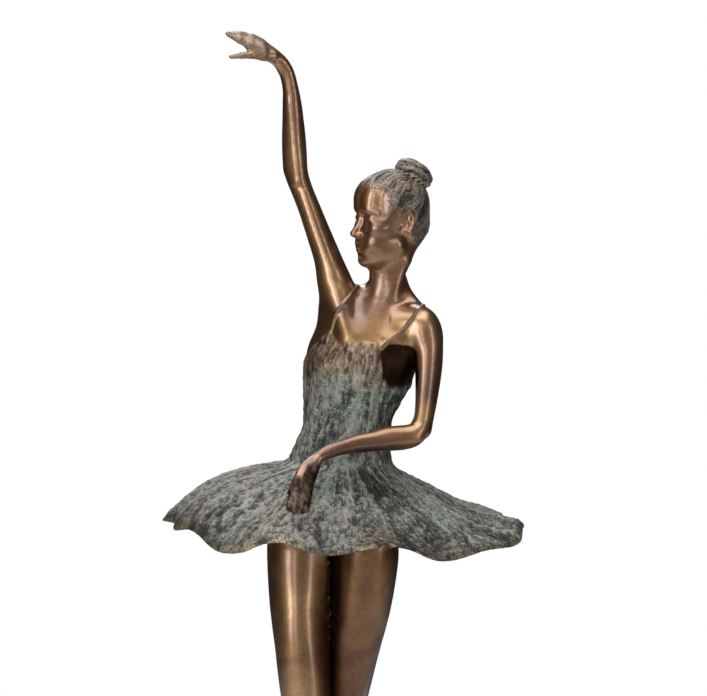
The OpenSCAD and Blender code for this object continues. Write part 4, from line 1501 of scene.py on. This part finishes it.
def add_leg(clay, stations, side):
    """side is 1 for the left leg and -1 for the right."""
    x, y, _, a, b = stations[-1]
    clay.add_loft(Loft(stations + [[x, y, HIP_Z + 6, a, b]], CHEST_LEFT, level=True))

    def at(z, left, front):
        return np.array([*middle_at(stations, z), z]) + left * CHEST_LEFT + front * CHEST_FRONT

    clay.add(ellipsoid(at(250, side, 8), (9, 9, 38), turn=-CHEST_TURN), 8)
    clay.add(ellipsoid(at(208, -5.6 * side, 5.4), (5.4, 6.4, 12)), 6)
    clay.add(ellipsoid(at(212, 5.4 * side, 6), (5.4, 6, 14)), 6)
    clay.add(ellipsoid(at(188, 0, 9), (5.6, 4.4, 6.4)), 4)
    clay.add(rod(at(178, 0, 9), at(110, 0, 5.2), 2.6, 2.2), 5)
    clay.add(ellipsoid(at(152, 3.4 * side, -5), (6, 6.6, 17)), 5)
    clay.add(ellipsoid(at(147, -3.6 * side, -5.4), (6, 6.6, 18)), 5)
    for out, up in ((1, 88), (-1, 91)):
        clay.add(ellipsoid(at(up, 4.6 * out, -0.6), (1.7, 2.2, 2.8)), 2.4)
    clay.add(rod(at(112, 0, -6.4), at(80, 0, -5.6), 1.7, 2.2), 4)
    clay.add(ellipsoid(at(78, 0, -4.2), (3.8, 4, 6)), 4)
    clay.add(ellipsoid(at(62, 0, 2.2), (5, 4.4, 11)), 4)
    inner = np.array([THIGHS_MEET + 5.6 * side, 1 + 1.5 * side, 0])
    clay.add(rod(inner + [0, 0, 206], inner + [0, -1, 302], 6.2, 9), 7)
    if side > 0:
        clay.add(rod(at(304, 1, 13.4), at(266, 0, 13.8), 5.6, 4.6), 6)


ANKLE_Z = 93  # the height that the ribbons cross round
KNOT_Z = 102.5
THROAT_Z = 78  # the height of the shoe's top edge over the middle of the foot


def ribbon_share(p, stations):
    """1 on the shoe's satin ribbons, which cross round the ankle."""
    cx, cy = middle_at(stations, p[:, 2])
    angle = np.arctan2(p[:, 1] - cy, p[:, 0] - cx)
    share = step_up(2, 1.6, np.abs(p[:, 2] - KNOT_Z))
    for sign, phase in ((1, 0.4), (-1, 2.2)):
        centre = ANKLE_Z + 8 * np.sin(angle * sign + phase)
        share = np.maximum(share, step_up(2.3, 1.8, np.abs(p[:, 2] - centre)))
    return share


def shoe_share(p, stations):
    """1 on the pointe shoe, up to its throat line."""
    line = THROAT_Z + 1.1 * (p[:, 1] - middle_at(stations, p[:, 2])[1])
    return step_up(0.4, -0.4, p[:, 2] - line)


def leg_clay(stations, side):
    """One leg, cut flat at the toes, at the hip and where it meets the other thigh."""
    s = np.array(stations)
    reach = s[:, 3:].max(1)[:, None]
    low = (s[:, :2] - reach).min(0) - 4
    high = (s[:, :2] + reach).max(0) + 4
    clay = Clay((*low, TOE_Z - 3), (*high, HIP_Z + 8), LEG_VOXEL)
    add_leg(clay, stations, side)
    clay.soften()
    clay.keep((0, 0, TOE_Z), (0, 0, 1))
    clay.keep((0, 0, HIP_Z), (0, 0, -1))
    clay.keep((THIGHS_MEET - 0.15 * side, 0, 0), (side, 0, 0))
    return clay


def dress_leg(skin, stations, side):
    """Raises shoe, ribbons and the weld beads between the thighs, and returns the paint, with painted
    shade on the thighs that deepens towards the crease and the outer edge and is lifted on the beads."""
    points = skin.points
    shoe = shoe_share(points, stations)
    ribbon = ribbon_share(points, stations) * (1 - shoe)
    seam = step_up(3, 1, np.abs(points[:, 0] - THIGHS_MEET)) * step_up(236, 246, points[:, 2])
    bead = seam * fractal(points, 2.2, 2, 7)
    free = off_face(points[:, 2] - TOE_Z) * off_face(HIP_Z - points[:, 2])
    skin.raise_by(free * (0.45 * shoe + 0.4 * ribbon + 0.06 * noise(points, 8, 4) + 0.3 * bead))

    x, _, z = skin.points.T
    to_seam = np.abs(x - THIGHS_MEET)
    s = np.array(stations)
    outer = np.abs(x - middle_at(stations, z)[0]) / np.interp(z, s[:, 2], s[:, 3])
    # Painted shade: darker on the thighs, towards the crease and towards the outer edge, and lighter on
    # the weld beads.
    painted_shade = 0.15 + 0.06 * side + 0.15 * np.exp(-(to_seam / 8) ** 2) + 0.14 * step_up(0.5, 1, outer)
    painted_shade = painted_shade * step_up(180, 230, z) - 0.3 * step_up(0.1, 0.5, bead) * step_up(1.3, 0.5, to_seam)
    worn = 0.55 * np.maximum(shoe, ribbon)
    return {
        "patina": worn,
        "relief": 0.52 + 0.25 * worn * fractal(skin.points, 2.5, 3, 9) - painted_shade,
        "gold": np.full(len(x), 0.15),
    }


def make_legs():
    for name, stations, side in (("right_leg", RIGHT_LEG, -1), ("left_leg", LEFT_LEG, 1)):
        skin = leg_clay(stations, side).skin()
        paint = dress_leg(skin, stations, side)
        make_piece(name + "_casting", skin, name, BRONZE, paint, level_at_hips(skin))


def level_at_hips(skin):
    """Normals without the rounding of the cut edge, so that the joint at the hips doesn't show."""
    normals = skin.normals()
    beside = np.linalg.norm(normals[:, :2], axis=1) > 0.3
    share = beside * step_up(HIP_REACH, HIP_REACH / 2, np.abs(skin.points[:, 2] - HIP_Z))
    level = normals + TINY
    level[:, 2] -= share * normals[:, 2]
    return unit(level)


def make_hips():
    clay = Clay(*HIPS_BOX, HIPS_VOXEL)
    clay.add_loft(Loft(HIPS[1:], CHEST_LEFT, level=True))
    for leg in (RIGHT_LEG, LEFT_LEG):
        x, y, _, a, b = leg[-1]
        stub = [[x, y, z, a, b] for z in (296, 301, 306, 311)]
        stub += [[0.8 * x, y, 318, a, b], [0.6 * x, y, 325, a, b]]
        clay.add_loft(Loft(stub, CHEST_LEFT, level=True, passes=4), 5)
    for s in (-1, 1):
        clay.add(ellipsoid((4.6 + 15 * s, 14 - 4.6 * s, 316), (15, 12, 14)), 7)
    clay.soften()
    clay.keep((0, 0, HIP_Z - LAP), (0, 0, 1))
    clay.keep((0, 0, WAIST_Z - TUTU_T), (0, 0, -1))
    skin = clay.skin()
    points = skin.points
    cloth = step_up(312, 317, points[:, 2] + noise(points, 5, 11))
    relief = bodice_relief(points) * cloth
    free = off_face(WAIST_Z - TUTU_T - points[:, 2])
    skin.raise_by(free * cloth * (0.2 + 0.5 * relief))
    paint = {"patina": cloth, "relief": 0.38 + 0.12 * cloth + 0.5 * relief}
    make_piece("hips_casting", skin, "hips", BRONZE, paint, level_at_hips(skin))


# ---------------------------------------------------------------- base

def lathe(profile, count=192):
    """Closed solid from an outline of (radius, height) points that starts and ends on the axis."""
    w = 2 * np.pi * np.arange(count) / count
    inner = profile[1:-1]
    rings = np.array([[[r * math.cos(a), r * math.sin(a), z] for a in w] for r, z in inner])
    points = np.vstack([rings.reshape(-1, 3), [[0, 0, profile[0][1]], [0, 0, profile[-1][1]]]])
    return Skin(points, end_fans(len(inner), count), ring_quads(len(inner), count))


def arc(cr, cz, radius, start, end):
    """Eight points of an arc of an outline, angles in degrees."""
    return [
        (cr + radius * math.cos(math.radians(a)), cz + radius * math.sin(math.radians(a)))
        for a in np.linspace(start, end, 8)
    ]


def disc_outline(node, low_edge, high_edge):
    """The outline of a round slab as large as a CAD node, with rounded edges, in mm."""
    low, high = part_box(node)
    r, z0, z1 = high.x / MM, low.z / MM, high.z / MM
    flat = [(r * t, z0) for t in (0.4, 0.8)]
    top = [(r * t, z1) for t in (0.85, 0.7, 0.5, 0.25)]
    return (
        [(0, z0)] + flat + arc(r - low_edge, z0 + low_edge, low_edge, -90, 0)
        + arc(r - high_edge, z1 - high_edge, high_edge, 0, 90) + top + [(0, z1)]
    )


def make_base():
    slab, pad = disc_outline("marble_base", 1, 3), disc_outline("felt_pad", 0.3, 0.5)
    make_piece("marble_slab", lathe(slab), "marble_base", MARBLE)
    make_piece("felt_disc", lathe(pad), "felt_pad", FELT)
    make_ground()


def make_ground():
    """The ground plate, rough on its top and smooth at its foot."""
    skin = lathe(disc_outline("ground_plate", 0.6, 2.4), 256)
    points = skin.points
    low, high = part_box("ground_plate")
    off_middle = step_up(0.15, 1.0, np.hypot(points[:, 0], points[:, 1]) / (high.x / MM))
    off_foot = step_up(low.z / MM, low.z / MM + 2, points[:, 2])
    rough = fractal(points, 9, 4, 61)
    points[:, 2] += 0.35 * off_middle * off_foot * (rough - 0.6)
    paint = {"patina": np.full(len(points), 0.7), "relief": 0.55 + 0.3 * rough}
    make_piece("ground_casting", skin, "ground_plate", BRONZE, paint)


STEEL_NODES = ("base_washers", "base_bolts", "tie_bolt", "tie_washer")


def dress_fasteners():
    """CAD nodes whose shape is right keep it and get their metal."""
    for name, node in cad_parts.items():
        if name not in REPLACED:
            node.data.materials.clear()
            node.data.materials.append(STEEL if name in STEEL_NODES else ROD_BRONZE)


# ---------------------------------------------------------------- stage

FLOOR_R = 1.05  # metres, small enough to stay below the main picture


def make_floor():
    """A pale disc that fades out towards its rim."""
    bpy.ops.mesh.primitive_circle_add(vertices=128, radius=FLOOR_R, fill_type="NGON")
    floor = bpy.context.object
    floor.name = "floor"
    material, tree = new_material("pale_floor")
    far = tree.vector("LENGTH", tree.where())
    fade = tree.fade(far, 0.55 * FLOOR_R, 0.97 * FLOOR_R)
    pale = tree.surface({"Base Color": (0.86, 0.86, 0.86, 1), "Roughness": 0.7})
    clear = tree.add("BsdfTransparent").outputs[0]
    tree.finish(tree.add("MixShader", {0: fade, 1: pale, 2: clear}).outputs[0])
    floor.data.materials.append(material)


CHEST_AT = Vector((0.02, 0, 0.40))  # metres; every light is turned towards it
LIGHTS = [
    ("key", (-0.85, -1.25, 0.8), (0.42, 1.4), 10),
    ("strip", (-0.25, -1.5, 0.75), (0.08, 1.4), 3),
    ("fill", (1.25, -0.95, 0.65), (0.12, 1.4), 3.5),
    ("top", (0.0, -0.2, 1.7), (1.5, 1.3), 18),
    ("back", (-0.3, 1.0, 1.35), (0.8, 0.5), 7),
]  # name, place and size in metres, and power in watts


def add_light(name, place, size, power):
    data = bpy.data.lights.new(name, "AREA")
    data.shape = "RECTANGLE"
    data.size, data.size_y = size
    data.energy = power
    light = bpy.data.objects.new(name, data)
    light.location = place
    light.rotation_euler = (CHEST_AT - Vector(place)).to_track_quat("-Z", "Y").to_euler()
    bpy.context.scene.collection.objects.link(light)


def make_world():
    """White to the camera; the metal sees a studio that is bright in front and dark behind."""
    world = bpy.data.worlds.new("studio")
    bpy.context.scene.world = world
    tree = Tree(world)
    seen = tree.add("Background", {"Color": (1, 1, 1, 1), "Strength": 1.0}).outputs[0]
    toward = tree.add("SeparateXYZ", {"Vector": tree.add("TexCoord").outputs["Generated"]})
    front = tree.fade(toward.outputs["Y"], -0.05, -0.75, 0.03, 0.29)
    felt = tree.add("Background", {"Color": (1, 0.98, 0.95, 1), "Strength": front}).outputs[0]
    camera_ray = tree.add("LightPath").outputs["Is Camera Ray"]
    mixed = tree.add("MixShader", {0: camera_ray, 1: felt, 2: seen}).outputs[0]
    tree.finish(mixed, "OutputWorld")


def make_stage():
    make_floor()
    make_world()
    for light in LIGHTS:
        add_light(*light)
    bpy.context.scene.view_settings.view_transform = "Standard"


make_tutu()
make_upper_body()
make_hands()
make_head()
make_bun()
make_hips()
make_legs()
make_base()
dress_fasteners()
make_stage()
